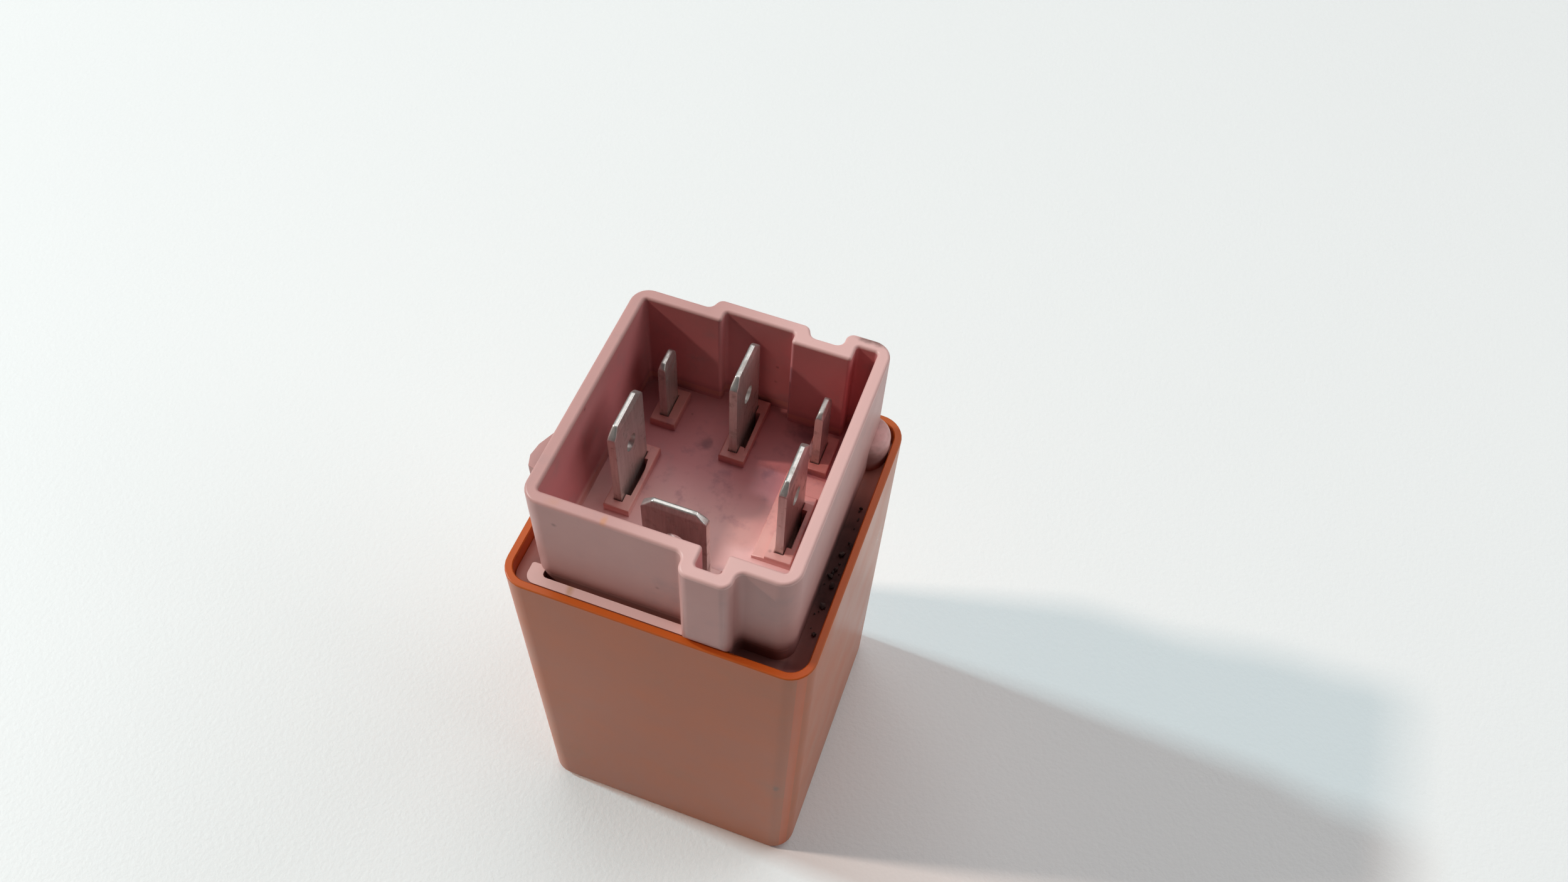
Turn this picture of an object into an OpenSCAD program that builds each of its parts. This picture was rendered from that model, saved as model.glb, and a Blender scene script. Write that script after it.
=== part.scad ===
// Automotive relay with a skirted plug-in socket.
// It stands on the closed end of its cover, with its blades pointing up (+Z) and its
// front towards -Y. The origin is the middle of the closed end. All sizes are in mm.

/* [Cover] */
// Width of the cover across its rim
cover_w = 31.5; // [31.5:0.1:34]
// Depth of the cover across its rim
cover_d = 31.8; // [31.8:0.1:34]
// Height of the cover from its closed end to its rim
cover_h = 49; // [46:0.5:60]
// Thickness of the cover's side walls
cover_wall = 0.8; // [0.7:0.1:1.1]
// Thickness of the cover's closed end
cover_end = 1.2; // [1:0.1:2]
// Radius of the cover's upright corners
cover_corner = 2.7; // [2.2:0.1:3.2]
// How far each side of the cover leans in from its rim to its closed end
cover_draft = 0.15; // [0.05:0.05:0.3]
// Radius of the edge round the closed end
cover_edge = 0.9; // [0.5:0.1:1.1]
// Rounding of the cover's rim on its outer side
rim_round = 0.15; // [0.1:0.05:0.3]
// Rounding of the rim on its inner side
rim_inner = 0.1; // [0.05:0.05:0.2]
// Thickness of the ribs inside the cover that the base plate sits on
rib_t = 0.9; // [0.6:0.1:1.4]
// How far those ribs stand in from the wall
rib_in = 0.8; // [0.5:0.1:1]
// Width of the trough between the shroud and the cover's left wall
trough_left = 2.15; // [1.9:0.05:2.4]
// Width of the trough on the right
trough_right = 1.75; // [1.6:0.05:2]
// Width of the trough at the front
trough_front = 1.55; // [1.4:0.05:1.8]
// Width of the trough at the back
trough_back = 2.15; // [1.9:0.05:2.5]

/* [Base plate] */
// Thickness of the base plate below the trough round the shroud
plate_t = 3; // [2:0.1:4]
// Depth of that trough below the cover's rim
trough_drop = 1.8; // [1.2:0.1:2.4]
// How far the socket's floor lies below the cover's rim
floor_drop = 0.1; // [0:0.1:0.6]
// How far the front ledge lies below the cover's rim
ledge_drop = 0; // [0:0.1:0.6]
// Width of the ledge, up to the groove in front of the shroud
ledge_w = 0.95; // [0.6:0.05:1.1]
// Radius of the ledge's round end
ledge_round = 1; // [0.3:0.1:1.2]
// Distance from the base plate's left edge to the ledge's end
ledge_end = 1.75; // [1.4:0.05:2]
// Distance from the shroud's left face to the groove's end
groove_end = 1.1; // [0.8:0.1:2]
// Clearance between the base plate and the cover
plate_fit = 0.05; // [0.05:0.05:0.2]
// Size of the square pads under the plate that steady the yoke
pad_size = 3; // [2:0.2:4]

/* [Shroud] */
// Thickness of the shroud's walls
shroud_wall = 1.3; // [1:0.1:1.5]
// Height of the shroud above the cover's rim
shroud_rise = 12.7; // [12.6:0.1:16]
// Radius of the shroud's main corners
shroud_corner = 1.9; // [1.4:0.1:2.2]
// Radius of the corners of its steps
step_corner = 0.8; // [0.4:0.1:1]
// Radius of the corners inside the shroud
inner_corner = 0.35; // [0.2:0.05:0.5]

/* [Back steps] */
// Left end of the broad step in the back wall, from the shroud's middle
broad_left = -5; // [-6:0.1:-4.6]
// Right end of the broad step in the back wall
broad_right = 4.8; // [4.5:0.1:5.2]
// How far the broad step stands out
broad_out = 1.3; // [1:0.1:1.5]
// How far the wall between the two steps stands out
middle_out = 0.05; // [0:0.05:0.3]
// Width of the corner step at the right
corner_w = 4.75; // [4.4:0.05:5]
// Gap between the corner step and the cover's wall
corner_gap = 0.25; // [0.05:0.05:0.4]

/* [Key channel] */
// Middle of the key channel in the front wall, from the shroud's middle
key_x = 5.2; // [4.6:0.1:5.6]
// Outer width of the key channel
key_w = 5; // [4.6:0.1:5.4]
// How far the key channel stands out past the cover's inner face
key_over = 0.55; // [0.3:0.05:0.8]
// Height over which the channel's foot is drawn in above the rim
key_foot = 1.4; // [0.8:0.1:2]

/* [Locking noses] */
// Distance from the corner step's back to the middle of the round nose on the right wall
nose_back = 2.8; // [2.8:0.05:4.2]
// Radius of that nose
nose_r = 2.5; // [2:0.1:2.8]
// Gap between the nose and the cover's wall
nose_gap = 0.15; // [0.1:0.05:0.4]
// Height of the nose above the cover's rim
nose_rise = 1.9; // [1:0.1:2.4]
// Rounding of the nose's top edge
nose_round = 0.8; // [0.5:0.1:1]
// Distance from the shroud's middle forward to the back end of the catch on the left wall
catch_at = 4.4; // [3.5:0.05:5.5]
// Length of that catch
catch_len = 5.4; // [4:0.1:6]
// How far it stands out of the wall
catch_out = 1.1; // [0.7:0.1:1.3]
// Height of the catch
catch_h = 4.5; // [3:0.1:6]
// How far its top lies below the lip
catch_drop = 0.7; // [0.5:0.1:1.5]

/* [Blades] */
// Width of the four large blades
tab_w = 6.3; // [6.1:0.1:6.5]
// Width of the two coil blades
coil_tab_w = 2.8; // [2.4:0.1:3.2]
// Thickness of every blade
tab_t = 0.8; // [0.6:0.1:0.9]
// Height of the large blades above the socket's floor
tab_rise = 12; // [10:0.1:12.4]
// Height of the coil blades above the socket's floor
coil_tab_rise = 8.9; // [7:0.1:11]
// Corner chamfer at a large blade's tip
tab_chamfer = 1.05; // [0.5:0.05:1.2]
// Corner chamfer at a coil blade's tip
coil_tab_chamfer = 0.5; // [0.3:0.05:0.8]
// Length over which a blade's tip is thinned
tab_lead = 0.8; // [0.4:0.1:1.2]
// Share of its thickness that the tip keeps
tip_share = 0.6; // [0.3:0.05:0.8]
// Diameter of the detent hole
detent_d = 1.9; // [1.4:0.1:2.2]
// Distance from a blade's tip to its detent hole
detent_drop = 5.2; // [4:0.1:6.4]
// Distance from the shroud's side walls in to the middle of the left and right blades
side_tab_in = 3.3; // [3.1:0.05:3.4]
// Distance from the shroud's side walls in to the middle of the coil blades
coil_tab_in = 3.5; // [3.3:0.05:3.6]
// Distance from the shroud's front wall in to the middle of the front blade
front_tab_in = 3.2; // [3:0.05:3.5]
// Gap between the shroud's broad step and the back blade's edge
back_tab_gap = 1.3; // [1.2:0.05:1.5]
// Gap between the shroud's back wall and the coil blades' edges
coil_tab_gap = 1.8; // [1.6:0.05:2]
// How far the left and right blades' middle lies in front of the shroud's
side_tab_front = 0.65; // [0:0.05:0.95]
// Clearance round a blade in its slot
slot_fit = 0.05; // [0.02:0.01:0.1]

/* [Pedestals] */
// Height of the pedestals that the blades stand on
pedestal_h = 1; // [0.5:0.1:1.5]
// How far a pedestal reaches past a blade's edge
pedestal_end = 0.9; // [0.6:0.1:1.1]
// How far it reaches on a blade's plain side
pedestal_side = 0.8; // [0.5:0.1:1]
// Width of the locking pocket beside a blade
pocket_w = 0.6; // [0.4:0.1:0.8]
// Length of the locking pocket
pocket_len = 4.6; // [3:0.1:5]
// Depth of the locking pocket below the pedestal's top
pocket_deep = 3; // [1.5:0.1:4]
// Wall of the pedestal beyond the pocket
pocket_wall = 0.5; // [0.4:0.1:0.7]
// Height of the low shelf round the right blade
shelf_h = 0.6; // [0.3:0.1:0.9]
// How far the shelf reaches past that blade's pedestal on the left
shelf_reach = 1.3; // [0.8:0.1:1.6]
// Gap between the shelf and the coil blade's pedestal behind it
shelf_gap = 0.6; // [0.4:0.1:1]

/* [Coil] */
// Gap between the front terminal's stem and the bobbin's flanges
stem_gap = 2.45; // [2:0.05:2.6]
// Space under the pole face, down to the cover's closed end
end_space = 9.8; // [9:0.1:12]
// How far the bobbin's flanges stand out past the yoke's sides
flange_side = 0.3; // [0:0.1:0.4]
// Thickness of the bobbin's flanges
flange_t = 1; // [0.7:0.1:1.5]
// Radius of the flanges' corners
flange_round = 2; // [1:0.1:3]
// Wall of the bobbin's tube
bobbin_wall = 0.8; // [0.6:0.1:1]
// Core's diameter as a share of the winding's
core_share = 0.5; // [0.46:0.01:0.54]
// How far the pole head stands out past the core
pole_out = 1.3; // [1:0.1:1.6]
// Thickness of the core's pole head
pole_t = 1.5; // [1:0.1:2]
// Depth of the shoulder at the core's staked end
stake_step = 0.9; // [0.6:0.1:1.1]
// Height of the staked head over the yoke
stake_h = 0.5; // [0.3:0.1:0.7]
// How far the bobbin's flanges stand out past the winding
winding_in = 0.75; // [0.5:0.05:1.2]
// Diameter of the winding's lead wires
lead_d = 0.3; // [0.2:0.05:0.4]

/* [Yoke and armature] */
// Thickness of the yoke
yoke_t = 1.5; // [1.2:0.1:1.8]
// Distance from the yoke's sides out to the middle of the coil blades
yoke_side = 1.4; // [1.3:0.1:1.8]
// Space behind the yoke for the spring, up to the cover's wall
spring_space = 4.8; // [4.6:0.1:5.2]
// Inner radius of the yoke's bend
yoke_bend = 0.6; // [0.4:0.1:1]
// Gap between the yoke and the base plate
yoke_gap = 1.8; // [1.6:0.1:2.4]
// Gap between the bobbin and the yoke's leg
leg_gap = 0.8; // [0.5:0.1:1]
// How far the yoke reaches in front of the coil's middle
yoke_front = 5.6; // [4.6:0.1:6.4]
// Width of each tongue that the armature hangs between
tongue_w = 1.5; // [1:0.1:1.8]
// Length of the tongues
tongue_len = 1.9; // [1.6:0.1:2.4]
// Thickness of the armature
armature_t = 1.5; // [1.2:0.1:1.8]
// How far the armature reaches in front of the coil's middle
armature_front = 6; // [5:0.1:6.6]
// Length of the armature's tail behind the yoke
tail_len = 2.7; // [2.5:0.1:3]
// Width of the armature's tail
tail_w = 4.8; // [3.6:0.1:5.4]
// Angle that the armature turns through, in degrees
armature_turn = 3; // [2:0.1:3.4]
// Side clearance of the armature between the tongues
armature_side = 0.25; // [0.2:0.05:0.4]

/* [Contacts] */
// Distance from the front blade's middle forward to the contacts
contact_off = 2.15; // [2:0.05:2.3]
// Diameter of the contact heads
contact_d = 3.2; // [2.6:0.1:3.4]
// Height of a contact head
contact_h = 0.6; // [0.5:0.05:0.8]
// Diameter of the contacts' shanks
shank_d = 1.6; // [1.2:0.1:1.8]
// Thickness of the contact blade
leaf_t = 0.3; // [0.2:0.05:0.4]
// Width of the contact blade
leaf_w = 6; // [5:0.1:6.6]
// Width of the strips that carry the fixed contacts
carrier_w = 4; // [3.6:0.1:4.4]
// Diameter of the rivets that hold the contact blade
rivet_d = 1.5; // [1.2:0.1:1.8]
// Distance between those rivets
rivet_span = 3.2; // [3:0.1:3.4]

/* [Return spring] */
// Mean diameter of the spring
spring_d = 2.6; // [2.2:0.1:2.7]
// Diameter of the spring's wire
spring_wire = 0.45; // [0.3:0.05:0.5]
// Turns in the spring
spring_turns = 11; // [8:1:14]
// Height of the spring's lug above the pole face
lug_rise = 14; // [12:0.5:20]
// Distance from the yoke to the spring's middle
spring_off = 2; // [1.9:0.05:2.1]

/* [Resistor and braid] */
// Diameter of the resistor
resistor_d = 2.5; // [2:0.1:2.6]
// Length of the resistor
resistor_len = 7; // [6:0.1:8]
// Diameter of the resistor's leads
resistor_wire = 0.5; // [0.4:0.05:0.6]
// Diameter of the copper braid
braid_d = 1.2; // [0.8:0.1:1.4]
// Height of the braid's loop
braid_rise = 15; // [12:0.5:18]
// How far the braid swings out behind the yoke
braid_swing = 2.4; // [2:0.1:2.8]

/* [Clearances] */
// Gap that is left between faces of parts that are pressed or staked together
press_gap = 0.03; // [0.02:0.01:0.05]
// Gap between the contacts when they meet, and under the pole face
touch_gap = 0.08; // [0.05:0.01:0.1]
// Radius of bends in the blades' strips
strip_bend = 0.5; // [0.3:0.1:0.7]

/* [Hidden] */

// Colours
orange = [0.80, 0.36, 0.12];
dusty_pink = [0.74, 0.52, 0.52];
tin = [0.62, 0.63, 0.62];
iron = [0.50, 0.51, 0.52];
copper = [0.72, 0.38, 0.22];
bronze = [0.75, 0.58, 0.34];
silver = [0.82, 0.82, 0.80];
white_nylon = [0.90, 0.88, 0.82];

// Steps in each rounded corner, and the smallest radius that a corner keeps
arc_steps = 8;
least_r = 0.05;
// Overrun of cutting shapes past the faces that they cut
over = 1;
// Depth to which joined shapes run into each other
bite = 0.3;

// Levels
rim_z = cover_h;
trough_z = rim_z - trough_drop;
plate_z = trough_z - plate_t;
floor_z = rim_z - floor_drop;
ledge_z = rim_z - ledge_drop;
lip_z = rim_z + shroud_rise;
pedestal_z = floor_z + pedestal_h;
yoke_z = plate_z - yoke_gap;
bobbin_z = yoke_z - yoke_t;
pole_z = cover_end + end_space;
bobbin_low = pole_z + pole_t;

// Inside of the cover at its rim, and the base plate in it
inner_w = cover_w - 2*cover_wall;
inner_d = cover_d - 2*cover_wall;
plate_w = inner_w - 2*plate_fit;
plate_d = inner_d - 2*plate_fit;
plate_corner = cover_corner - cover_wall;
plate_front = -plate_d/2;

// Shroud's outer faces, inside the trough
shroud_left = trough_left - inner_w/2;
shroud_right = inner_w/2 - trough_right;
shroud_front = trough_front - inner_d/2;
shroud_back = inner_d/2 - trough_back;
shroud_x = (shroud_left + shroud_right)/2;
shroud_y = (shroud_front + shroud_back)/2;

// Blades: where each stands
left_x = shroud_left + shroud_wall + side_tab_in;
right_x = shroud_right - shroud_wall - side_tab_in;
side_y = shroud_y - side_tab_front;
front_y = shroud_front + shroud_wall + front_tab_in;
back_y = shroud_back + broad_out - shroud_wall - back_tab_gap - tab_w/2;
coil_left_x = shroud_left + shroud_wall + coil_tab_in;
coil_right_x = shroud_right - shroud_wall - coil_tab_in;
coil_row_y = shroud_back - shroud_wall - coil_tab_gap - coil_tab_w/2;
// Strip of a terminal below the base plate
web_h = 2.5;
shoulder = 0.5;
stem_w = 5;

// Yoke and coil, between the front terminal's stem and the space for the spring
leg_back = inner_d/2 - spring_space;
leg_y = leg_back - yoke_t;
yoke_w = coil_right_x - coil_left_x - 2*yoke_side;
flange_w = yoke_w + 2*flange_side;
flange_d = leg_y - leg_gap - (front_y + tab_t/2 + stem_gap);
coil_x = shroud_x;
coil_y = leg_y - leg_gap - flange_d/2;
winding_r = min(flange_w, flange_d)/2 - winding_in;
core_d = 2*core_share*winding_r;
tube_r = core_d/2 + press_gap + bobbin_wall;
pole_d = core_d + 2*pole_out;
stake_d = core_d - 2*stake_step;
pad_x = yoke_w/2 - pad_size/2;
pad_y = coil_y - yoke_front + pad_size/2;

// Armature, drawn closed against the pole face and then let open about its hinge
hinge_y = leg_back;
hinge_z = pole_z - touch_gap;
leaf_z = hinge_z - armature_t;
contact_y = front_y - contact_off;
neck_w = yoke_w - 2*(tongue_w + armature_side);
spring_y = hinge_y + spring_off;

// Height at rest of a point that has the given place on the closed armature
function rest_z(y, z) =
    hinge_z + (y - hinge_y)*sin(armature_turn) + (z - hinge_z)*cos(armature_turn);

// Fixed contacts, which the moving contact meets when closed and when open
make_z = leaf_z + contact_h + touch_gap;
break_z = rest_z(contact_y, leaf_z - leaf_t - contact_h) - touch_gap;
make_foot_z = make_z + contact_h;
break_foot_z = break_z - contact_h - tab_t;

// Points of a closed outline, run anticlockwise, drawn in by inset, each corner rounded;
// even gives every corner of it the same radius
function outline(points, radii, inset = 0, even = 0) =
    let (n = len(points))
    [for (k = [0:n - 1])
        let (a = points[(k + n - 1) % n],
             b = points[k],
             c = points[(k + 1) % n],
             into = (b - a)/norm(b - a),
             out = (c - b)/norm(c - b),
             side_in = [-into.y, into.x],
             side_out = [-out.y, out.x],
             mid = (side_in + side_out)/(1 + side_in*side_out),
             turn = into.x*out.y - into.y*out.x > 0 ? 1 : -1,
             r = even > 0 ? even : max(radii[k] - turn*inset, least_r),
             centre = b + (inset + turn*r)*mid,
             start = atan2(-turn*side_in.y, -turn*side_in.x),
             sweep = turn*acos(into*out))
        for (s = [0:arc_steps])
            centre + r*[cos(start + sweep*s/arc_steps), sin(start + sweep*s/arc_steps)]];

// Outline of a rectangle about the origin, with rounded corners
function rect_outline(w, d, r, inset = 0) =
    outline([[-w/2, -d/2], [w/2, -d/2], [w/2, d/2], [-w/2, d/2]], [r, r, r, r], inset);

// A solid through a stack of outlines that have the same number of points
module loft(rings, heights) {
    n = len(rings[0]);
    top = len(rings) - 1;
    points = [for (k = [0:top]) for (p = rings[k]) [p.x, p.y, heights[k]]];
    sides = [for (k = [0:top - 1]) for (i = [0:n - 1])
        let (j = (i + 1) % n)
        each [[k*n + i, (k + 1)*n + i, (k + 1)*n + j], [k*n + i, (k + 1)*n + j, k*n + j]]];
    low_cap = [[for (i = [0:n - 1]) i]];
    high_cap = [[for (i = [n - 1:-1:0]) top*n + i]];
    polyhedron(points, concat(low_cap, sides, high_cap));
}

// Angles of a quarter round drawn in three steps, and its sine and cosine
round_steps = [0, 30, 60, 90];

function unit(v) = v/norm(v);

// Direction of a path at each of its points
function path_tangents(path) =
    let (last = len(path) - 1)
    [for (i = [0:last]) unit(path[min(i + 1, last)] - path[max(i - 1, 0)])];

// A side vector carried along the path without twist
function path_sides(tangents, side, i = 0, done = []) =
    i == len(tangents) ? done :
    let (s = unit(side - (side*tangents[i])*tangents[i]))
    path_sides(tangents, s, i + 1, concat(done, [s]));

// A round wire or braid along a path of points; first_side is across its first stretch
module wire(path, r, faces, first_side) {
    tangents = path_tangents(path);
    sides = path_sides(tangents, first_side);
    last = len(path) - 1;
    points = [for (i = [0:last]) for (k = [0:faces - 1])
        let (across = cross(tangents[i], sides[i]))
        path[i] + r*(cos(360*k/faces)*sides[i] + sin(360*k/faces)*across)];
    skin = [for (i = [0:last - 1]) for (k = [0:faces - 1])
        let (j = (k + 1) % faces)
        each [[i*faces + k, (i + 1)*faces + j, i*faces + j],
              [i*faces + k, (i + 1)*faces + k, (i + 1)*faces + j]]];
    start_cap = [[for (k = [0:faces - 1]) k]];
    end_cap = [[for (k = [faces - 1:-1:0]) last*faces + k]];
    polyhedron(points, concat(start_cap, skin, end_cap));
}

// Smooth curve through points, with a few steps between each pair
function smooth(points, steps) =
    let (last = len(points) - 1)
    concat([for (i = [0:last - 1]) for (s = [0:steps - 1])
        let (t = s/steps,
             p0 = points[max(i - 1, 0)],
             p1 = points[i],
             p2 = points[i + 1],
             p3 = points[min(i + 2, last)])
        0.5*(2*p1 + (p2 - p0)*t + (2*p0 - 5*p1 + 4*p2 - p3)*t*t
             + (3*p1 - p0 - 3*p2 + p3)*t*t*t)],
        [points[last]]);

// ---- Cover ----

// The cover's plan at a height above the closed end, drawn in by inset
function cover_plan(z, inset) =
    let (lean = cover_draft*(1 - z/cover_h))
    rect_outline(cover_w, cover_d, cover_corner, inset + lean);

module cover_shell() {
    edge_z = [for (a = round_steps) cover_edge*(1 - cos(a))];
    edge_in = [for (a = round_steps) cover_edge*(1 - sin(a))];
    rim_up = [for (a = round_steps) rim_z - rim_round*(1 - sin(a))];
    rim_in = [for (a = round_steps) rim_round*(1 - cos(a))];
    difference() {
        loft(concat([for (k = [0:3]) cover_plan(edge_z[k], edge_in[k])],
                    [for (k = [0:3]) cover_plan(rim_up[k], rim_in[k])]),
             concat(edge_z, rim_up));
        loft([cover_plan(cover_end, cover_wall), cover_plan(rim_z - rim_inner, cover_wall),
              cover_plan(rim_z, cover_wall - rim_inner),
              cover_plan(rim_z + over, cover_wall - rim_inner)],
             [cover_end, rim_z - rim_inner, rim_z, rim_z + over]);
    }
}

module cover() {
    rib_x = inner_w/2 - cover_corner - rib_t;
    rib_y = inner_d/2 - cover_corner - rib_t;
    color(orange) {
        union() {
            cover_shell();
            // Seat ribs, two on each wall, reaching up to the base plate's underside
            for (sx = [-1, 1], sy = [-1, 1]) {
                translate([sx*rib_x - rib_t/2, sy > 0 ? inner_d/2 - rib_in : -inner_d/2 - bite,
                           cover_end - bite])
                    cube([rib_t, rib_in + bite, plate_z - cover_end + bite]);
                translate([sx > 0 ? inner_w/2 - rib_in : -inner_w/2 - bite, sy*rib_y - rib_t/2,
                           cover_end - bite])
                    cube([rib_in + bite, rib_t, plate_z - cover_end + bite]);
            }
        }
    }
}

// ---- Base with its shroud ----

// Corners of the shroud's plan, anticlockwise from the front left, and their radii
key_left = shroud_x + key_x - key_w/2;
key_right = shroud_x + key_x + key_w/2;
key_front = -inner_d/2 - key_over;
corner_left = shroud_right - corner_w;
corner_back = inner_d/2 - corner_gap;
shroud_points = [
    [shroud_left, shroud_front],
    [key_left, shroud_front],
    [key_left, key_front],
    [key_right, key_front],
    [key_right, shroud_front],
    [shroud_right, shroud_front],
    [shroud_right, corner_back],
    [corner_left, corner_back],
    [corner_left, shroud_back + middle_out],
    [shroud_x + broad_right, shroud_back + middle_out],
    [shroud_x + broad_right, shroud_back + broad_out],
    [shroud_x + broad_left, shroud_back + broad_out],
    [shroud_x + broad_left, shroud_back],
    [shroud_left, shroud_back]];
key_corner = 1.1;
shroud_radii = [shroud_corner, step_corner, key_corner, key_corner, step_corner, shroud_corner,
                shroud_corner, step_corner, step_corner, step_corner, step_corner, step_corner,
                step_corner, shroud_corner];

module shroud_outside() {
    translate([0, 0, trough_z - bite])
        linear_extrude(lip_z - trough_z + bite)
            polygon(outline(shroud_points, shroud_radii));
}

module shroud_inside() {
    translate([0, 0, floor_z])
        linear_extrude(lip_z - floor_z + over)
            polygon(outline(shroud_points, shroud_radii, shroud_wall, inner_corner));
}

// Cuts the foot of the key channel back to the base plate's edge, clear of the cover's rim
module key_foot_cut() {
    clear_z = rim_z + plate_fit;
    translate([key_left - over, 0, 0])
        rotate([90, 0, 90])
            linear_extrude(key_w + 2*over)
                polygon([[plate_front, trough_z - over],
                         [plate_front, clear_z],
                         [plate_front - key_foot*0.3, clear_z + key_foot*0.4],
                         [key_front, clear_z + key_foot],
                         [key_front - over, clear_z + key_foot],
                         [key_front - over, trough_z - over]]);
}

// Raised ledge along the cover's rim, left of the key channel: its end wraps the shroud's
// corner, and a groove parts it from the shroud's front
module ledge() {
    left = ledge_end - plate_w/2;
    right = key_left + step_corner;
    back = shroud_front + shroud_wall/2;
    ledge_back = plate_front + ledge_w;
    points = [[left, plate_front], [right, plate_front], [right, back], [left, back]];
    groove_left = shroud_left + groove_end;
    groove = [[groove_left, ledge_back], [right + over, ledge_back], [right + over, back + over],
              [groove_left, back + over]];
    end_round = (shroud_front - ledge_back)*0.8;
    difference() {
        translate([0, 0, trough_z - bite])
            linear_extrude(ledge_z - trough_z + bite)
                polygon(outline(points, [ledge_round, least_r, least_r, (shroud_left - left)*0.8]));
        translate([0, 0, trough_z])
            linear_extrude(ledge_z - trough_z + over)
                polygon(outline(groove, [end_round, least_r, least_r, least_r]));
    }
}

// Round nose outside the right wall, near the back, its top edge rounded
module nose() {
    nose_out = trough_right - nose_gap;
    nose_h = bite + trough_drop + nose_rise;
    profile = concat([[0, 0], [nose_r, 0]],
                     [for (a = [0:22.5:90])
                         [nose_r - nose_round*(1 - cos(a)), nose_h - nose_round*(1 - sin(a))]],
                     [[0, nose_h]]);
    translate([shroud_right + nose_out - nose_r, corner_back - nose_back, trough_z - bite])
        rotate_extrude($fn = 48) polygon(profile);
}

// Catch outside the left wall: it grows towards the front and ends in a steep face
module catch_ramp() {
    root = shroud_left + bite;
    tip = shroud_left - catch_out;
    catch_back = shroud_y - catch_at;
    plan = [[root, catch_back],
            [tip + catch_out*0.2, catch_back - catch_len*0.5],
            [tip, catch_back - catch_len*0.75],
            [tip + catch_out*0.3, catch_back - catch_len*0.95],
            [root, catch_back - catch_len]];
    translate([0, 0, lip_z - catch_drop - catch_h])
        intersection() {
            linear_extrude(catch_h) polygon(plan);
            // Its underside leans back to the wall
            translate([0, catch_back + over, 0])
                rotate([90, 0, 0])
                    linear_extrude(catch_len + 2*over)
                        polygon([[root, 0], [root, catch_h + over], [tip - over, catch_h + over],
                                 [tip - over, catch_h*0.7]]);
        }
}

// Pedestal round a blade whose width lies along Y, with a pocket on its right
module pedestal(x, y, w, back = 0) {
    left = x - tab_t/2 - pedestal_side;
    right = x + tab_t/2 + pocket_w + pocket_wall;
    translate([left, y - w/2 - pedestal_end, floor_z - bite])
        cube([right - left, w + 2*pedestal_end + back, pedestal_h + bite]);
}

module pedestals() {
    pedestal(left_x, side_y, tab_w);
    pedestal(right_x, side_y, tab_w);
    pedestal(shroud_x, back_y, tab_w);
    pedestal(coil_left_x, coil_row_y, coil_tab_w);
    pedestal(coil_right_x, coil_row_y, coil_tab_w);
    // Low shelf round the right blade's, out to the shroud's wall
    shelf_left = right_x - tab_t/2 - pedestal_side - shelf_reach;
    shelf_front = side_y - tab_w/2 - pedestal_end;
    shelf_back = coil_row_y - coil_tab_w/2 - pedestal_end - shelf_gap;
    translate([shelf_left, shelf_front, floor_z - bite])
        cube([shroud_right - shroud_wall + bite - shelf_left, shelf_back - shelf_front,
              shelf_h + bite]);
    // The front blade's, turned a quarter round
    translate([shroud_x - tab_w/2 - pedestal_end, front_y - tab_t/2 - pedestal_side,
               floor_z - bite])
        cube([tab_w + 2*pedestal_end, tab_t + 2*pedestal_side, pedestal_h + bite]);
}

// Slot for a blade, and the locking pocket beside it
module blade_slot(w) {
    through = pedestal_z - plate_z + 2*over;
    translate([-tab_t/2 - slot_fit, -w/2 - slot_fit, plate_z - over])
        cube([tab_t + 2*slot_fit, w + 2*slot_fit, through]);
}

module pocket(w) {
    translate([tab_t/2, -w/2, pedestal_z - pocket_deep])
        cube([pocket_w, w, pocket_deep + over]);
}

module base_slots() {
    for (place = [[left_x, side_y], [right_x, side_y], [shroud_x, back_y]])
        translate([place.x, place.y, 0]) {
            blade_slot(tab_w);
            pocket(pocket_len);
        }
    for (x = [coil_left_x, coil_right_x])
        translate([x, coil_row_y, 0]) blade_slot(coil_tab_w);
    translate([shroud_x, front_y, 0]) rotate([0, 0, 90]) blade_slot(tab_w);
}

module base() {
    color(dusty_pink)
        difference() {
            union() {
                difference() {
                    union() {
                        translate([0, 0, plate_z])
                            linear_extrude(plate_t)
                                polygon(rect_outline(plate_w, plate_d, plate_corner));
                        shroud_outside();
                        ledge();
                        nose();
                        catch_ramp();
                    }
                    shroud_inside();
                    key_foot_cut();
                }
                pedestals();
                // Pads that the yoke is drawn up against
                for (side = [-1, 1])
                    translate([coil_x + side*pad_x - pad_size/2, pad_y - pad_size/2, yoke_z])
                        cube([pad_size, pad_size, yoke_gap + bite]);
            }
            base_slots();
        }
}

// ---- Terminals ----

// A blade from the socket's floor up, its width along Y, its tip chamfered and thinned
module tab(w, rise, chamfer) {
    thin = tab_t*(1 - tip_share)/2;
    difference() {
        intersection() {
            translate([-tab_t/2, 0, 0])
                rotate([90, 0, 90])
                    linear_extrude(tab_t)
                        polygon([[-w/2, -bite], [w/2, -bite], [w/2, rise - chamfer],
                                 [w/2 - chamfer, rise], [-w/2 + chamfer, rise],
                                 [-w/2, rise - chamfer]]);
            translate([0, w/2, 0])
                rotate([90, 0, 0])
                    linear_extrude(w)
                        polygon([[-tab_t/2, -bite], [tab_t/2, -bite],
                                 [tab_t/2, rise - tab_lead], [tab_t/2 - thin, rise],
                                 [thin - tab_t/2, rise], [-tab_t/2, rise - tab_lead]]);
        }
        if (w > 2*detent_d)
            translate([0, 0, rise - detent_drop])
                rotate([0, 90, 0])
                    cylinder(d = detent_d, h = tab_t + 2*over, center = true, $fn = 32);
    }
}

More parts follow.
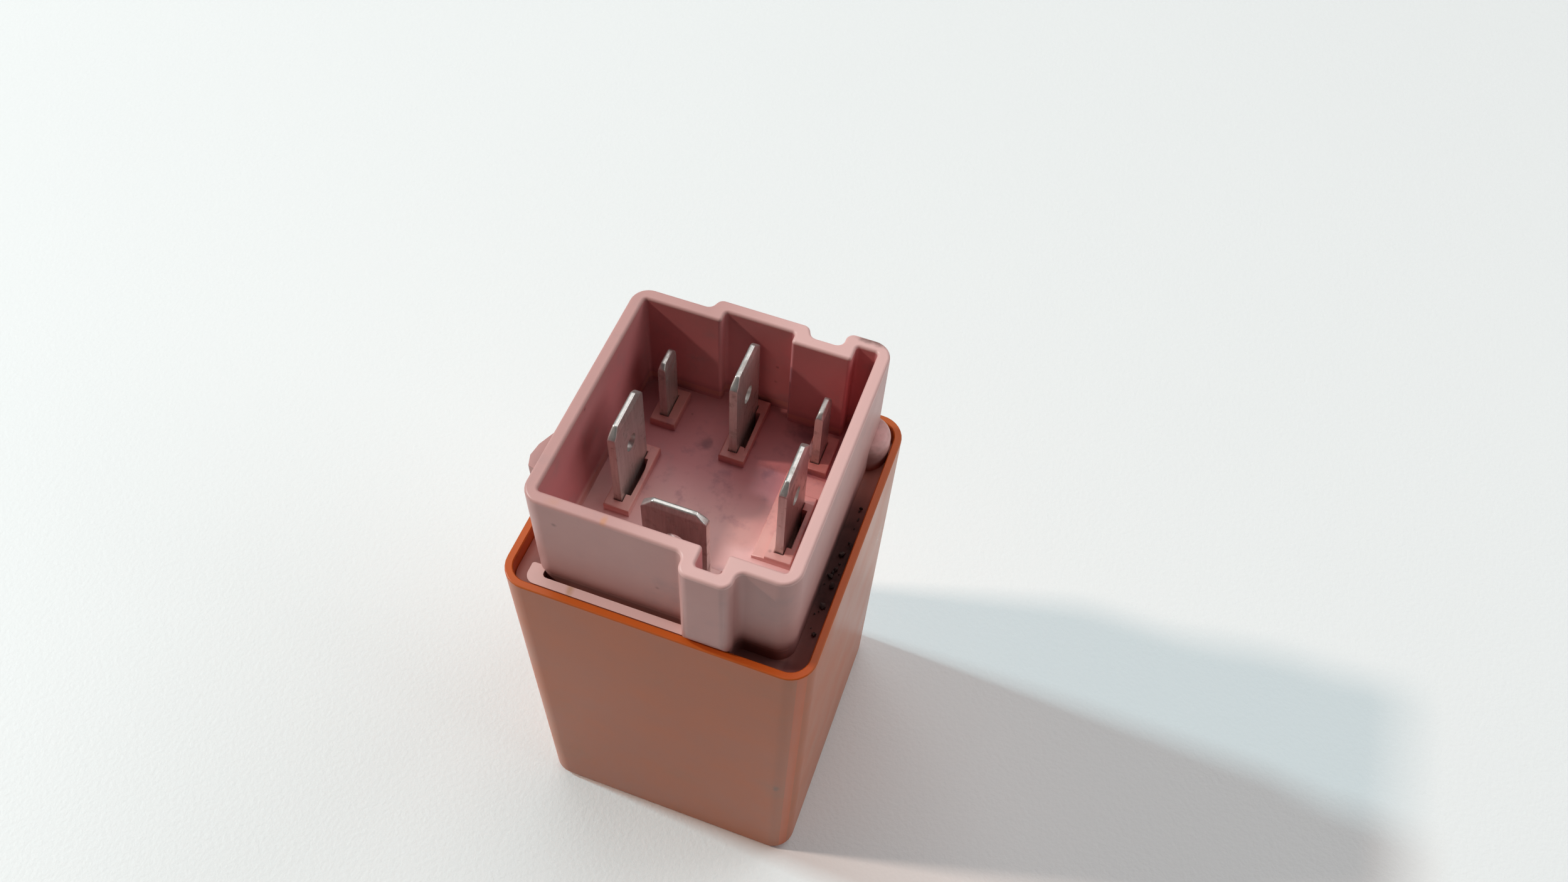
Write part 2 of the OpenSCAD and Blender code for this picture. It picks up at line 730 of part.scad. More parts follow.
// Flat strip in an upright plane across X, cut to the given outline in Y and Z
module side_strip(x, points) {
    translate([x - tab_t/2, 0, 0])
        rotate([90, 0, 90])
            linear_extrude(tab_t) polygon(points);
}

// Profile of a strip bent to a right angle, its outer corner at the origin
module bent_profile(up, along) {
    polygon(outline([[0, 0], [along, 0], [along, tab_t], [tab_t, tab_t], [tab_t, up], [0, up]],
                    [strip_bend + tab_t, least_r, least_r, strip_bend, least_r, least_r]));
}

// Common terminal: its tail is folded flat onto the yoke
module terminal_30() {
    foot_w = leg_back - (back_y - tab_w/2);
    color(tin) {
        union() {
            translate([shroud_x, back_y, floor_z]) tab(tab_w, tab_rise, tab_chamfer);
            side_strip(shroud_x, [[back_y - tab_w/2, plate_z], [back_y + tab_w/2, plate_z],
                                  [back_y + tab_w/2, floor_z], [back_y - tab_w/2, floor_z]]);
            translate([shroud_x - tab_t/2, leg_back, yoke_z])
                rotate([90, 0, 0])
                    linear_extrude(foot_w) bent_profile(yoke_gap + bite, yoke_w/2 - 1);
        }
    }
}

// Make terminal: its stem runs down in front of the coil to the make contact
module terminal_87() {
    foot_len = front_y + tab_t/2 - contact_y + carrier_w/2;
    points = [[-stem_w/2, make_foot_z + tab_t + strip_bend],
              [stem_w/2, make_foot_z + tab_t + strip_bend],
              [stem_w/2, plate_z - web_h],
              [tab_w/2 + shoulder, plate_z - web_h],
              [tab_w/2 + shoulder, plate_z],
              [tab_w/2, plate_z],
              [tab_w/2, floor_z],
              [-tab_w/2, floor_z],
              [-tab_w/2, plate_z],
              [-tab_w/2 - shoulder, plate_z],
              [-tab_w/2 - shoulder, plate_z - web_h],
              [-stem_w/2, plate_z - web_h]];
    color(tin)
        difference() {
            union() {
                translate([shroud_x, front_y, floor_z])
                    rotate([0, 0, 90]) tab(tab_w, tab_rise, tab_chamfer);
                translate([shroud_x, front_y + tab_t/2, 0])
                    rotate([90, 0, 0])
                        linear_extrude(tab_t) polygon(points);
                translate([shroud_x, front_y + tab_t/2, make_foot_z])
                    rotate([90, 0, -90])
                        linear_extrude(carrier_w, center = true)
                            bent_profile(tab_t + strip_bend + bite, foot_len);
            }
            shank_hole(contact_y, make_foot_z);
        }
}

// Second make terminal: a web below the plate joins it to the first one's stem
module terminal_87b() {
    wing_y = front_y - tab_t/2 - tab_t;
    wing_end = shroud_x - tab_w/4;
    points = [[wing_y + tab_t + strip_bend, plate_z - web_h],
              [side_y + tab_w/2 + shoulder, plate_z - web_h],
              [side_y + tab_w/2 + shoulder, plate_z],
              [side_y + tab_w/2, plate_z],
              [side_y + tab_w/2, floor_z],
              [side_y - tab_w/2, floor_z],
              [side_y - tab_w/2, plate_z],
              [wing_y + tab_t + strip_bend, plate_z]];
    color(tin)
        union() {
            translate([right_x, side_y, floor_z]) tab(tab_w, tab_rise, tab_chamfer);
            side_strip(right_x, points);
            translate([right_x + tab_t/2, wing_y, plate_z - web_h])
                mirror([1, 0, 0])
                    linear_extrude(web_h)
                        bent_profile(tab_t + strip_bend + bite, right_x + tab_t/2 - wing_end);
        }
}

// Break terminal: its leg runs down beside the coil and folds in under the contact blade
module terminal_87a() {
    leg_front = contact_y - carrier_w/2;
    leg_rear = contact_y + carrier_w/2;
    points = [[leg_front, break_foot_z + tab_t + strip_bend],
              [leg_rear, break_foot_z + tab_t + strip_bend],
              [leg_rear, plate_z - web_h],
              [side_y + tab_w/2 + shoulder, plate_z - web_h],
              [side_y + tab_w/2 + shoulder, plate_z],
              [side_y + tab_w/2, plate_z],
              [side_y + tab_w/2, floor_z],
              [side_y - tab_w/2, floor_z],
              [side_y - tab_w/2, plate_z],
              [leg_front, plate_z]];
    color(tin)
        difference() {
            union() {
                translate([left_x, side_y, floor_z]) tab(tab_w, tab_rise, tab_chamfer);
                side_strip(left_x, points);
                translate([left_x - tab_t/2, leg_rear, break_foot_z])
                    rotate([90, 0, 0])
                        linear_extrude(carrier_w)
                            bent_profile(tab_t + strip_bend + bite,
                                         coil_x - left_x + tab_t/2 + carrier_w/2);
            }
            shank_hole(contact_y, break_foot_z);
        }
}

// Hole in a terminal's foot for the shank of its contact
module shank_hole(y, z) {
    translate([coil_x, y, z - over])
        cylinder(d = shank_d + 2*press_gap, h = tab_t + 2*over, $fn = 32);
}

// Coil terminal: its narrow post below the base plate takes the coil wire
post_w = 1;
post_len = 9.5;
post_neck = 4;
module coil_terminal(x) {
    half = coil_tab_w/2;
    points = [[coil_row_y - post_w/2, plate_z - post_len],
              [coil_row_y + post_w/2, plate_z - post_len],
              [coil_row_y + post_w/2, plate_z - post_neck - shoulder],
              [coil_row_y + half, plate_z - post_neck],
              [coil_row_y + half, plate_z - 1 - shoulder],
              [coil_row_y + half + shoulder, plate_z - 1],
              [coil_row_y + half + shoulder, plate_z],
              [coil_row_y + half, plate_z],
              [coil_row_y + half, floor_z],
              [coil_row_y - half, floor_z],
              [coil_row_y - half, plate_z],
              [coil_row_y - half - shoulder, plate_z],
              [coil_row_y - half - shoulder, plate_z - 1],
              [coil_row_y - half, plate_z - 1 - shoulder],
              [coil_row_y - half, plate_z - post_neck],
              [coil_row_y - post_w/2, plate_z - post_neck - shoulder]];
    color(tin)
        union() {
            translate([x, coil_row_y, floor_z]) tab(coil_tab_w, coil_tab_rise, coil_tab_chamfer);
            side_strip(x, points);
        }
}

module terminal_85() { coil_terminal(coil_left_x); }
module terminal_86() { coil_terminal(coil_right_x); }

// ---- Magnet ----

lug_z = pole_z + lug_rise;
lug_t = 1;
lug_w = 4;

module yoke() {
    profile = [[leg_y, pole_z], [leg_back, pole_z], [leg_back, yoke_z],
               [coil_y - yoke_front, yoke_z], [coil_y - yoke_front, bobbin_z],
               [leg_y, bobbin_z]];
    radii = [least_r, least_r, yoke_bend + yoke_t, least_r, least_r, yoke_bend];
    color(iron)
        difference() {
            union() {
                translate([coil_x - yoke_w/2, 0, 0])
                    rotate([90, 0, 90])
                        linear_extrude(yoke_w) polygon(outline(profile, radii));
                for (side = [-1, 1])
                    translate([coil_x + side*(yoke_w - tongue_w)/2 - tongue_w/2, leg_y,
                               pole_z - tongue_len])
                        cube([tongue_w, yoke_t, tongue_len + bite]);
                // Lug for the return spring
                translate([coil_x - lug_w/2, leg_back - bite, lug_z])
                    cube([lug_w, spring_off + spring_wire + 0.6 + bite, lug_t]);
            }
            translate([coil_x, coil_y, bobbin_z - over])
                cylinder(d = stake_d + 2*press_gap, h = yoke_t + 2*over, $fn = 48);
            translate([coil_x - spring_wire, spring_y - spring_wire, lug_z - over])
                cube([2*spring_wire, tail_len, lug_t + 2*over]);
        }
}

module core() {
    shank_top = bobbin_z;
    color(iron)
        translate([coil_x, coil_y, 0]) {
            union() {
                translate([0, 0, pole_z]) cylinder(d = pole_d, h = pole_t, $fn = 64);
                translate([0, 0, pole_z + pole_t/2])
                    cylinder(d = core_d, h = shank_top - pole_z - pole_t/2, $fn = 64);
                translate([0, 0, shank_top - pole_t])
                    cylinder(d = stake_d, h = yoke_t + pole_t + stake_h, $fn = 64);
                translate([0, 0, yoke_z])
                    cylinder(d1 = stake_d + 1.2, d2 = stake_d + 0.4, h = stake_h, $fn = 64);
            }
        }
}

module bobbin() {
    color(white_nylon)
        difference() {
            union() {
                for (z = [bobbin_low, bobbin_z - flange_t])
                    translate([coil_x, coil_y, z])
                        linear_extrude(flange_t)
                            polygon(rect_outline(flange_w, flange_d, flange_round));
                translate([coil_x, coil_y, bobbin_low])
                    cylinder(r = tube_r, h = bobbin_z - bobbin_low, $fn = 64);
            }
            translate([coil_x, coil_y, bobbin_low - over])
                cylinder(r = core_d/2 + press_gap, h = bobbin_z - bobbin_low + 2*over, $fn = 64);
            // Notches in the upper flange that let the two coil ends out
            for (side = [-1, 1])
                translate([coil_x + side*(winding_r - 1), coil_y + flange_d/2 - 1,
                           bobbin_z - flange_t - over])
                    cylinder(d = 1, h = flange_t + 2*over, $fn = 24);
        }
}

// The winding bulges a little between its flanges
module winding() {
    low = bobbin_low + flange_t + press_gap;
    high = bobbin_z - flange_t - press_gap;
    bulge = 0.25;
    color(copper)
        translate([coil_x, coil_y, 0])
            rotate_extrude($fn = 64)
                polygon([[tube_r + press_gap, low], [winding_r - bulge, low],
                         [winding_r, low + 2], [winding_r, high - 2],
                         [winding_r - bulge, high], [tube_r + press_gap, high]]);
}

// A coil end: from the winding to its terminal's post, then round the post
wrap_turns = 4;
wrap_r = norm([tab_t, post_w])/2 + lead_d/2 + press_gap;
module coil_lead(x, side) {
    wrap_top = plate_z - post_neck - 2*shoulder - lead_d;
    leave = [coil_x + side*(winding_r + lead_d)*cos(50), coil_y + (winding_r + lead_d)*sin(50)];
    pitch = lead_d*1.4;
    start_angle = side > 0 ? 200 : -20;
    wraps = [for (k = [0:12*wrap_turns])
        [x + wrap_r*cos(start_angle - side*30*k), coil_row_y + wrap_r*sin(start_angle - side*30*k),
         wrap_top - pitch*k/12]];
    approach = [for (t = [0:0.25:0.75])
        [leave.x, leave.y, bobbin_z - flange_t - 1.5]*(1 - t) + wraps[0]*t];
    color(copper) wire(concat(approach, wraps), lead_d/2, 6, [0, 0, 1]);
}

module coil_lead_85() { coil_lead(coil_left_x, -1); }
module coil_lead_86() { coil_lead(coil_right_x, 1); }

// ---- Resistor across the coil ----

resistor_y = leg_back + resistor_d/2 + 0.7;
resistor_z = plate_z - post_neck + 0.8;

module resistor_body() {
    end_len = 1.2;
    waist = 0.15;
    color([0.35, 0.55, 0.70])
        translate([coil_x - resistor_len/2, resistor_y, resistor_z])
            rotate([0, 90, 0])
                rotate_extrude($fn = 48)
                    polygon([[0, 0], [resistor_d/2 - 0.4, 0], [resistor_d/2, 0.4],
                             [resistor_d/2, end_len], [resistor_d/2 - waist, end_len + 0.4],
                             [resistor_d/2 - waist, resistor_len - end_len - 0.4],
                             [resistor_d/2, resistor_len - end_len],
                             [resistor_d/2, resistor_len - 0.4],
                             [resistor_d/2 - 0.4, resistor_len], [0, resistor_len]]);
}

module resistor_leads() {
    reach = (coil_right_x - coil_left_x)/2;
    turn_r = 1;
    tab_back = coil_row_y + coil_tab_w/2;
    color(tin)
        for (side = [-1, 1]) {
            bend = [for (a = [0:15:90])
                [side*(reach - turn_r + turn_r*sin(a)), -turn_r + turn_r*cos(a), 0]];
            path = concat([[side*resistor_len/2, 0, 0]], bend,
                          [[side*reach, tab_back + press_gap - resistor_y, 0]]);
            translate([coil_x, resistor_y, resistor_z])
                wire(path, resistor_wire/2, 10, [0, 0, 1]);
        }
}

// ---- Armature and moving contact ----

// Lets the closed armature's parts fall open about the hinge
module at_rest() {
    translate([0, hinge_y, hinge_z])
        rotate([armature_turn, 0, 0])
            translate([0, -hinge_y, -hinge_z]) children();
}

rivet_y = (coil_y + pole_d/2 + leg_y)/2;

module armature() {
    half = yoke_w/2 - 0.4;
    shoulder_y = leg_y - armature_side;
    points = [[-half, coil_y - armature_front], [half, coil_y - armature_front],
              [half, shoulder_y], [neck_w/2, shoulder_y], [neck_w/2, hinge_y],
              [tail_w/2, hinge_y], [tail_w/2, hinge_y + tail_len],
              [-tail_w/2, hinge_y + tail_len], [-tail_w/2, hinge_y], [-neck_w/2, hinge_y],
              [-neck_w/2, shoulder_y], [-half, shoulder_y]];
    radii = [2, 2, 0.3, 0.2, 0.3, 0.3, 0.6, 0.6, 0.3, 0.3, 0.2, 0.3];
    color(iron)
        at_rest()
            difference() {
                translate([coil_x, 0, leaf_z])
                    linear_extrude(armature_t) polygon(outline(points, radii));
                for (side = [-1, 1])
                    translate([coil_x + side*rivet_span/2, rivet_y, leaf_z - over])
                        cylinder(d = rivet_d + 2*press_gap, h = armature_t + 2*over, $fn = 32);
                // Notch in the tail for the spring's hook
                translate([coil_x - spring_wire, spring_y - 2*spring_wire, leaf_z - over])
                    cube([2*spring_wire, tail_len, armature_t + 2*over]);
            }
}

// The blade's side ear, which the braid is welded to
ear_in = 0.8;
ear_len = 2.6;
ear_w = (yoke_w - leaf_w)/2 - ear_in;
ear_y = leg_y - 2*armature_side;

module contact_blade() {
    tip = contact_y - contact_d/2 - 0.5;
    half = leaf_w/2;
    points = [[-half + 1, tip], [half - 1, tip], [half, contact_y + 4],
              [half, ear_y - ear_len], [half + ear_w, ear_y - ear_len], [half + ear_w, ear_y],
              [-half, ear_y], [-half, contact_y + 4]];
    radii = [0.8, 0.8, 3, 0.6, 0.5, 0.5, 0.5, 3];
    color(bronze)
        at_rest()
            difference() {
                translate([coil_x, 0, leaf_z - leaf_t])
                    linear_extrude(leaf_t) polygon(outline(points, radii));
                for (side = [-1, 1])
                    translate([coil_x + side*rivet_span/2, rivet_y, leaf_z - over])
                        cylinder(d = rivet_d + 2*press_gap, h = 2*over, $fn = 32);
                translate([coil_x, contact_y, leaf_z - over])
                    cylinder(d = shank_d + 2*press_gap, h = 2*over, $fn = 32);
            }
}

module blade_rivets() {
    head_h = 0.5;
    color(iron)
        at_rest()
            for (side = [-1, 1])
                translate([coil_x + side*rivet_span/2, rivet_y, leaf_z - leaf_t]) {
                    cylinder(d = rivet_d, h = leaf_t + armature_t, $fn = 32);
                    translate([0, 0, -head_h])
                        cylinder(d1 = rivet_d + 0.6, d2 = rivet_d + 1, h = head_h, $fn = 32);
                }
}

// A domed contact head whose crown is at the origin and whose body lies below it
module contact_head(height) {
    crown_r = 7;
    intersection() {
        translate([0, 0, -height]) cylinder(d = contact_d, h = height, $fn = 48);
        translate([0, 0, -crown_r]) sphere(r = crown_r, $fn = 96);
    }
}

module moving_contact() {
    color(silver)
        at_rest()
            translate([coil_x, contact_y, 0])
                union() {
                    translate([0, 0, leaf_z + contact_h]) contact_head(contact_h);
                    translate([0, 0, leaf_z - leaf_t - contact_h])
                        mirror([0, 0, 1]) contact_head(contact_h);
                    translate([0, 0, leaf_z - leaf_t - contact_h/2])
                        cylinder(d = shank_d, h = leaf_t + contact_h, $fn = 32);
                }
}

// A fixed contact: head, shank through its foot, and staked end
module fixed_contact() {
    contact_head(contact_h);
    translate([0, 0, -contact_h - tab_t - 0.3])
        cylinder(d = shank_d, h = contact_h/2 + tab_t + 0.3, $fn = 32);
    translate([0, 0, -contact_h - tab_t - 0.3])
        cylinder(d1 = shank_d + 0.3, d2 = shank_d + 0.7, h = 0.3, $fn = 32);
}

module make_contact() {
    color(silver)
        translate([coil_x, contact_y, make_z]) mirror([0, 0, 1]) union() fixed_contact();
}

module break_contact() {
    color(silver) translate([coil_x, contact_y, break_z]) union() fixed_contact();
}

// ---- Spring and braid ----

module return_spring() {
    wire_r = spring_wire/2;
    low = rest_z(spring_y, leaf_z) - wire_r - press_gap;
    coil_low = rest_z(spring_y, hinge_z) + 1;
    coil_high = lug_z - 1;
    high = lug_z + lug_t + wire_r + press_gap;
    steps = 12*spring_turns;
    turns = [for (k = [0:steps])
        [spring_d/2*sin(30*k), -spring_d/2*cos(30*k),
         coil_low + (coil_high - coil_low)*k/steps]];
    path = concat([[-1.4, 0, low], [-0.5, 0, low], [-0.1, 0, low + 0.1], [0, 0, low + 0.5],
                   [0, 0, coil_low - 0.7], [0, -spring_d/4, coil_low - 0.3]],
                  turns,
                  [[0, -spring_d/4, coil_high + 0.3], [0, 0, coil_high + 0.7],
                   [0, 0, high - 0.5], [0.1, 0, high - 0.1], [0.5, 0, high], [1.4, 0, high]]);
    color([0.68, 0.68, 0.70])
        translate([coil_x, spring_y, 0]) wire(path, wire_r, 6, [0, 1, 0]);
}

module pigtail() {
    r = braid_d/2;
    x = coil_x + yoke_w/2 - ear_in - braid_d*0.9;
    under = rest_z(ear_y - ear_len/2, leaf_z - leaf_t) - r - touch_gap;
    sag = braid_rise/30;
    behind = leg_back + r + touch_gap;
    route = [[x, ear_y - ear_len*0.8, under],
             [x, ear_y - ear_len*0.1, under - sag/4],
             [x, leg_back - yoke_t/2, under - sag],
             [x, leg_back + braid_swing*0.6, under + sag/2],
             [x, leg_back + braid_swing, under + braid_rise*0.16],
             [x, leg_back + braid_swing*0.96, under + braid_rise*0.4],
             [x, leg_back + braid_swing*0.6, under + braid_rise*0.6],
             [x, behind, under + braid_rise*0.78],
             [x, behind, under + braid_rise]];
    color(copper) wire(smooth(route, 4), r, 8, [1, 0, 0]);
}

cover();
base();
terminal_30();
terminal_87();
terminal_87b();
terminal_87a();
terminal_85();
terminal_86();
yoke();
core();
bobbin();
winding();
coil_lead_85();
coil_lead_86();
resistor_body();
resistor_leads();
armature();
contact_blade();
blade_rivets();
moving_contact();
make_contact();
break_contact();
return_spring();
pigtail();
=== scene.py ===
"""Dresses a plug-in automotive relay: moulded cover and socket, blades, coil and contacts."""

import functools
import math
import random

import bmesh
import bpy
from bpy.props import FloatProperty, FloatVectorProperty, IntProperty, PointerProperty
from bpy.types import Operator, Panel, PropertyGroup
from mathutils import Matrix, Vector


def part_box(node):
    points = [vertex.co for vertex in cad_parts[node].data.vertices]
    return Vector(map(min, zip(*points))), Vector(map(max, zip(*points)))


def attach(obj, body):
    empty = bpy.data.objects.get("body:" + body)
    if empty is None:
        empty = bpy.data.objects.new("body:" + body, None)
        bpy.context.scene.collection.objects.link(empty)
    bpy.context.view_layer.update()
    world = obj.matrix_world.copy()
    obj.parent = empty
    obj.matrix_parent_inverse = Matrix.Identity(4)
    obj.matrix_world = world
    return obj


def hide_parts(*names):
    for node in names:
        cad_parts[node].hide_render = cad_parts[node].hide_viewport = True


bl_info = {
    "name": "Automotive relay",
    "version": (1, 0, 0),
    "blender": (4, 5, 0),
    "location": "View3D > Sidebar > Relay",
    "description": "Finishes a plug-in relay's parts and sets up its studio",
    "category": "Object",
}

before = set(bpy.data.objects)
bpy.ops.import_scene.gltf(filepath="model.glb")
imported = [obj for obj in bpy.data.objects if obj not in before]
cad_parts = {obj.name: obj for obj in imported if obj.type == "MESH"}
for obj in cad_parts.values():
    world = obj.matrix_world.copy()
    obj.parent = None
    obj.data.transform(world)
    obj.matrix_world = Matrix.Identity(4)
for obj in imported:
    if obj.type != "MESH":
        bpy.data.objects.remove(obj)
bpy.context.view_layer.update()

MM = 0.001
MERGE = 0.002*MM  # points nearer than this become one
PLAY = 0.01*MM  # places that differ by less count as the same
UP = 0.99  # least upward part of a level face's normal
RUNS_BACK = -0.9  # cosine of the turn where an outline runs back over itself

BLADES = ("terminal_30", "terminal_87", "terminal_87b", "terminal_87a", "terminal_85",
          "terminal_86")

# Tints of wear and dirt, and of painted light and shade, on the cover and then on the base
COVER_HAZE = (0.42, 0.12, 0.05)
OLIVE_STAIN = (0.26, 0.12, 0.05)
COVER_SCUFF = (0.10, 0.06, 0.04)
LOW_SCUFF = (0.12, 0.07, 0.05)
MOTTLE = (0.34, 0.20, 0.20)
# Painted orange light that the cover reflects onto the base
COVER_BOUNCE_LIGHT = (0.54, 0.15, 0.09)
HANDLING_GREY = (0.31, 0.22, 0.22)
# Painted light on the front of the socket's floor
PAINTED_FLOOR_LIGHT = (0.80, 0.49, 0.46)
# Painted shade on the back of the socket's floor
PAINTED_FLOOR_SHADE = (0.34, 0.11, 0.12)
# Wear and a painted highlight on the pedestals
PEDESTAL_WEAR_AND_HIGHLIGHT = (0.64, 0.25, 0.19)
SMUDGE = (0.22, 0.08, 0.11)
FLOOR_SPOT = (0.10, 0.035, 0.05)
# Painted light on the ledge's top
PAINTED_LEDGE_LIGHT = (0.78, 0.47, 0.43)
LIP_WORN = (0.80, 0.50, 0.47)
# Grime with painted shade and red bounce light low on the shroud's outside
FOOT_GRIME_AND_SHADE = (0.24, 0.06, 0.05)
# Dirt with painted shade in the trough's corner by the key
KEY_DIRT_AND_SHADE = (0.13, 0.05, 0.05)
# Dirt with painted shade in the right-hand trough
TROUGH_DIRT_AND_SHADE = (0.16, 0.05, 0.05)
PACKED_DIRT = (0.035, 0.018, 0.018)
NICK = (0.10, 0.045, 0.045)
DIRT_PALE = (0.14, 0.09, 0.08)

# The lights: their colours, and the point that they face
WHITE, WARM, COOL = (1, 1, 1), (1, 0.78, 0.67), (0.66, 0.94, 1)
FACED = Vector((0, 0, 45*MM))

# The camera: its place, its angles in degrees (clockwise from straight ahead, down and roll)
# and its lens and sensor in mm
CAMERA_AT = Vector((26.024, -63.775, 157.234))*MM
CAMERA_ANGLES = (-16.509, 54.949, 3.958)
CAMERA_LENS, CAMERA_SENSOR = 29.561, 36
CAMERA_NEAR = 5*MM  # nothing closer is seen


# ---- Sizes and colours that a user would change ----

class RelayShape(PropertyGroup):
    """Sizes of the fine shaping that the finished pieces get."""

    lip_round: FloatProperty(
        name="Lip rounding", description="Rounding along the shroud's lip",
        default=0.32*MM, min=0.05*MM, max=0.5*MM, unit="LENGTH", precision=5)
    step_round: FloatProperty(
        name="Pedestal rounding", description="Rounding of the pedestals' top edges",
        default=0.14*MM, min=0.02*MM, max=0.3*MM, unit="LENGTH", precision=5)
    blade_round: FloatProperty(
        name="Blade rounding", description="Wear of the blades' stamped edges",
        default=0.15*MM, min=0.02*MM, max=0.2*MM, unit="LENGTH", precision=5)
    crumb_size: FloatProperty(
        name="Crumb size", description="Size of the largest dirt crumbs in the trough",
        default=0.7*MM, min=0.1*MM, max=0.8*MM, unit="LENGTH", precision=5)
    crumb_count: IntProperty(
        name="Crumbs", description="Number of dirt crumbs in the right-hand trough",
        default=24, min=1, max=300)


class RelayColours(PropertyGroup):
    """Colours of the finishes."""

    cover: FloatVectorProperty(
        name="Cover", description="Orange moulded cover", subtype="COLOR", size=4,
        default=(0.43, 0.098, 0.020, 1), min=0, max=1)
    # The rim colour is also used, a little darker, for a painted glow of light through the wall on
    # the cover's inside
    rim: FloatVectorProperty(
        name="Rim", description="Cover's fresh orange along its rim", subtype="COLOR", size=4,
        default=(0.60, 0.105, 0.012, 1), min=0, max=1)
    base: FloatVectorProperty(
        name="Base", description="Faded pink outside of the base", subtype="COLOR", size=4,
        default=(0.520, 0.272, 0.251, 1), min=0, max=1)
    # Its deeper pink down inside the socket is painted bounce light and shade
    inside: FloatVectorProperty(
        name="Socket", description="Deeper pink inside the socket", subtype="COLOR", size=4,
        default=(0.60, 0.200, 0.208, 1), min=0, max=1)
    soot: FloatVectorProperty(
        name="Dirt", description="Road dirt that settles in the corners", subtype="COLOR", size=4,
        default=(0.030, 0.018, 0.018, 1), min=0, max=1)
    tin: FloatVectorProperty(
        name="Tin", description="Tin plating on the blades", subtype="COLOR", size=4,
        default=(0.60, 0.575, 0.55, 1), min=0, max=1)
    zinc: FloatVectorProperty(
        name="Zinc", description="Plated yoke, core and armature", subtype="COLOR", size=4,
        default=(0.52, 0.53, 0.55, 1), min=0, max=1)
    nylon: FloatVectorProperty(
        name="Nylon", description="Coil bobbin", subtype="COLOR", size=4,
        default=(0.74, 0.70, 0.58, 1), min=0, max=1)
    copper: FloatVectorProperty(
        name="Copper", description="Enamelled winding wire and braid", subtype="COLOR", size=4,
        default=(0.60, 0.22, 0.10, 1), min=0, max=1)
    bronze: FloatVectorProperty(
        name="Bronze", description="Contact blade", subtype="COLOR", size=4,
        default=(0.66, 0.45, 0.22, 1), min=0, max=1)
    silver: FloatVectorProperty(
        name="Silver", description="Contact heads", subtype="COLOR", size=4,
        default=(0.78, 0.77, 0.74, 1), min=0, max=1)
    lacquer: FloatVectorProperty(
        name="Lacquer", description="Resistor body", subtype="COLOR", size=4,
        default=(0.10, 0.22, 0.33, 1), min=0, max=1)
    steel: FloatVectorProperty(
        name="Spring steel", description="Return spring", subtype="COLOR", size=4,
        default=(0.30, 0.30, 0.31, 1), min=0, max=1)
    floor: FloatVectorProperty(
        name="Floor", description="Pale studio floor", subtype="COLOR", size=4,
        default=(0.84, 0.85, 0.85, 1), min=0, max=1)


class RelayLight(PropertyGroup):
    """Strength and size of the studio lights."""

    sky: FloatProperty(
        name="Sky", description="Strength of the even light from all round",
        default=0.04, min=0, max=2)
    warm: FloatProperty(
        name="Warm key light", description="Power of the warm panel at the left",
        default=12.3, min=0, max=100, unit="POWER")
    cool: FloatProperty(
        name="Cool key light", description="Power of the cool panel at the left",
        default=12.7, min=0, max=100, unit="POWER")
    key_size: FloatProperty(
        name="Key light size", description="Side of the two panels at the left",
        default=0.1, min=0.01, max=1, unit="LENGTH")
    top: FloatProperty(
        name="Top light", description="Power of the large panel overhead",
        default=8.8, min=0, max=100, unit="POWER")
    right: FloatProperty(
        name="Right light", description="Power of the large panel at the right",
        default=4.2, min=0, max=100, unit="POWER")
    back: FloatProperty(
        name="Back light", description="Power of the large panel behind at the right",
        default=6.6, min=0, max=100, unit="POWER")


# ---- Shaping ----

def deselect():
    """Leaves edit mode and selects nothing."""
    if bpy.context.object and bpy.context.object.mode != "OBJECT":
        bpy.ops.object.mode_set(mode="OBJECT")
    bpy.ops.object.select_all(action="DESELECT")


def take(piece):
    """Makes this piece the only one selected, and the active one."""
    deselect()
    piece.select_set(True)
    bpy.context.view_layer.objects.active = piece


def edit(piece, mode="EDGE"):
    """Starts editing a piece's points, edges or faces."""
    take(piece)
    bpy.ops.object.mode_set(mode="EDIT")
    bpy.ops.mesh.select_mode(type=mode)


def done():
    """Ends editing."""
    bpy.ops.object.mode_set(mode="OBJECT")


def merged_copy(node, name):
    """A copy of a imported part, its loose triangles joined and its flat faces made whole."""
    piece = bpy.data.objects.new(name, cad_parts[node].data.copy())
    bpy.context.scene.collection.objects.link(piece)
    piece.data.materials.clear()
    take(piece)
    bpy.ops.mesh.customdata_custom_splitnormals_clear()
    edit(piece, "VERT")
    bpy.ops.mesh.select_all(action="SELECT")
    bpy.ops.mesh.remove_doubles(threshold=MERGE)
    bpy.ops.mesh.dissolve_limited(angle_limit=math.radians(0.4))
    done()
    return piece


def unmark(mesh):
    """Clears a mesh's whole selection."""
    for part in (mesh.vertices, mesh.edges, mesh.polygons):
        part.foreach_set("select", [False]*len(part))


def sharp_edges(piece, least_angle, wanted):
    """Selects the outward edges past an angle that the test on their two ends accepts."""
    shape = bmesh.new()
    shape.from_mesh(piece.data)
    picked = [edge.index for edge in shape.edges
              if len(edge.link_faces) == 2 and edge.is_convex
              and edge.calc_face_angle(0) > math.radians(least_angle)
              and wanted(edge.verts[0].co, edge.verts[1].co)]
    shape.free()
    unmark(piece.data)
    for k in picked:
        piece.data.edges[k].select = True
    return len(picked)


def round_edges(piece, least_angle, wanted, width, steps):
    """Rounds the edges that sharp_edges picks; none may be too short for the width."""
    if sharp_edges(piece, least_angle, wanted):
        edit(piece)
        bpy.ops.mesh.bevel(offset=width, segments=steps, profile=0.5, affect="EDGES",
                           clamp_overlap=False)
        done()


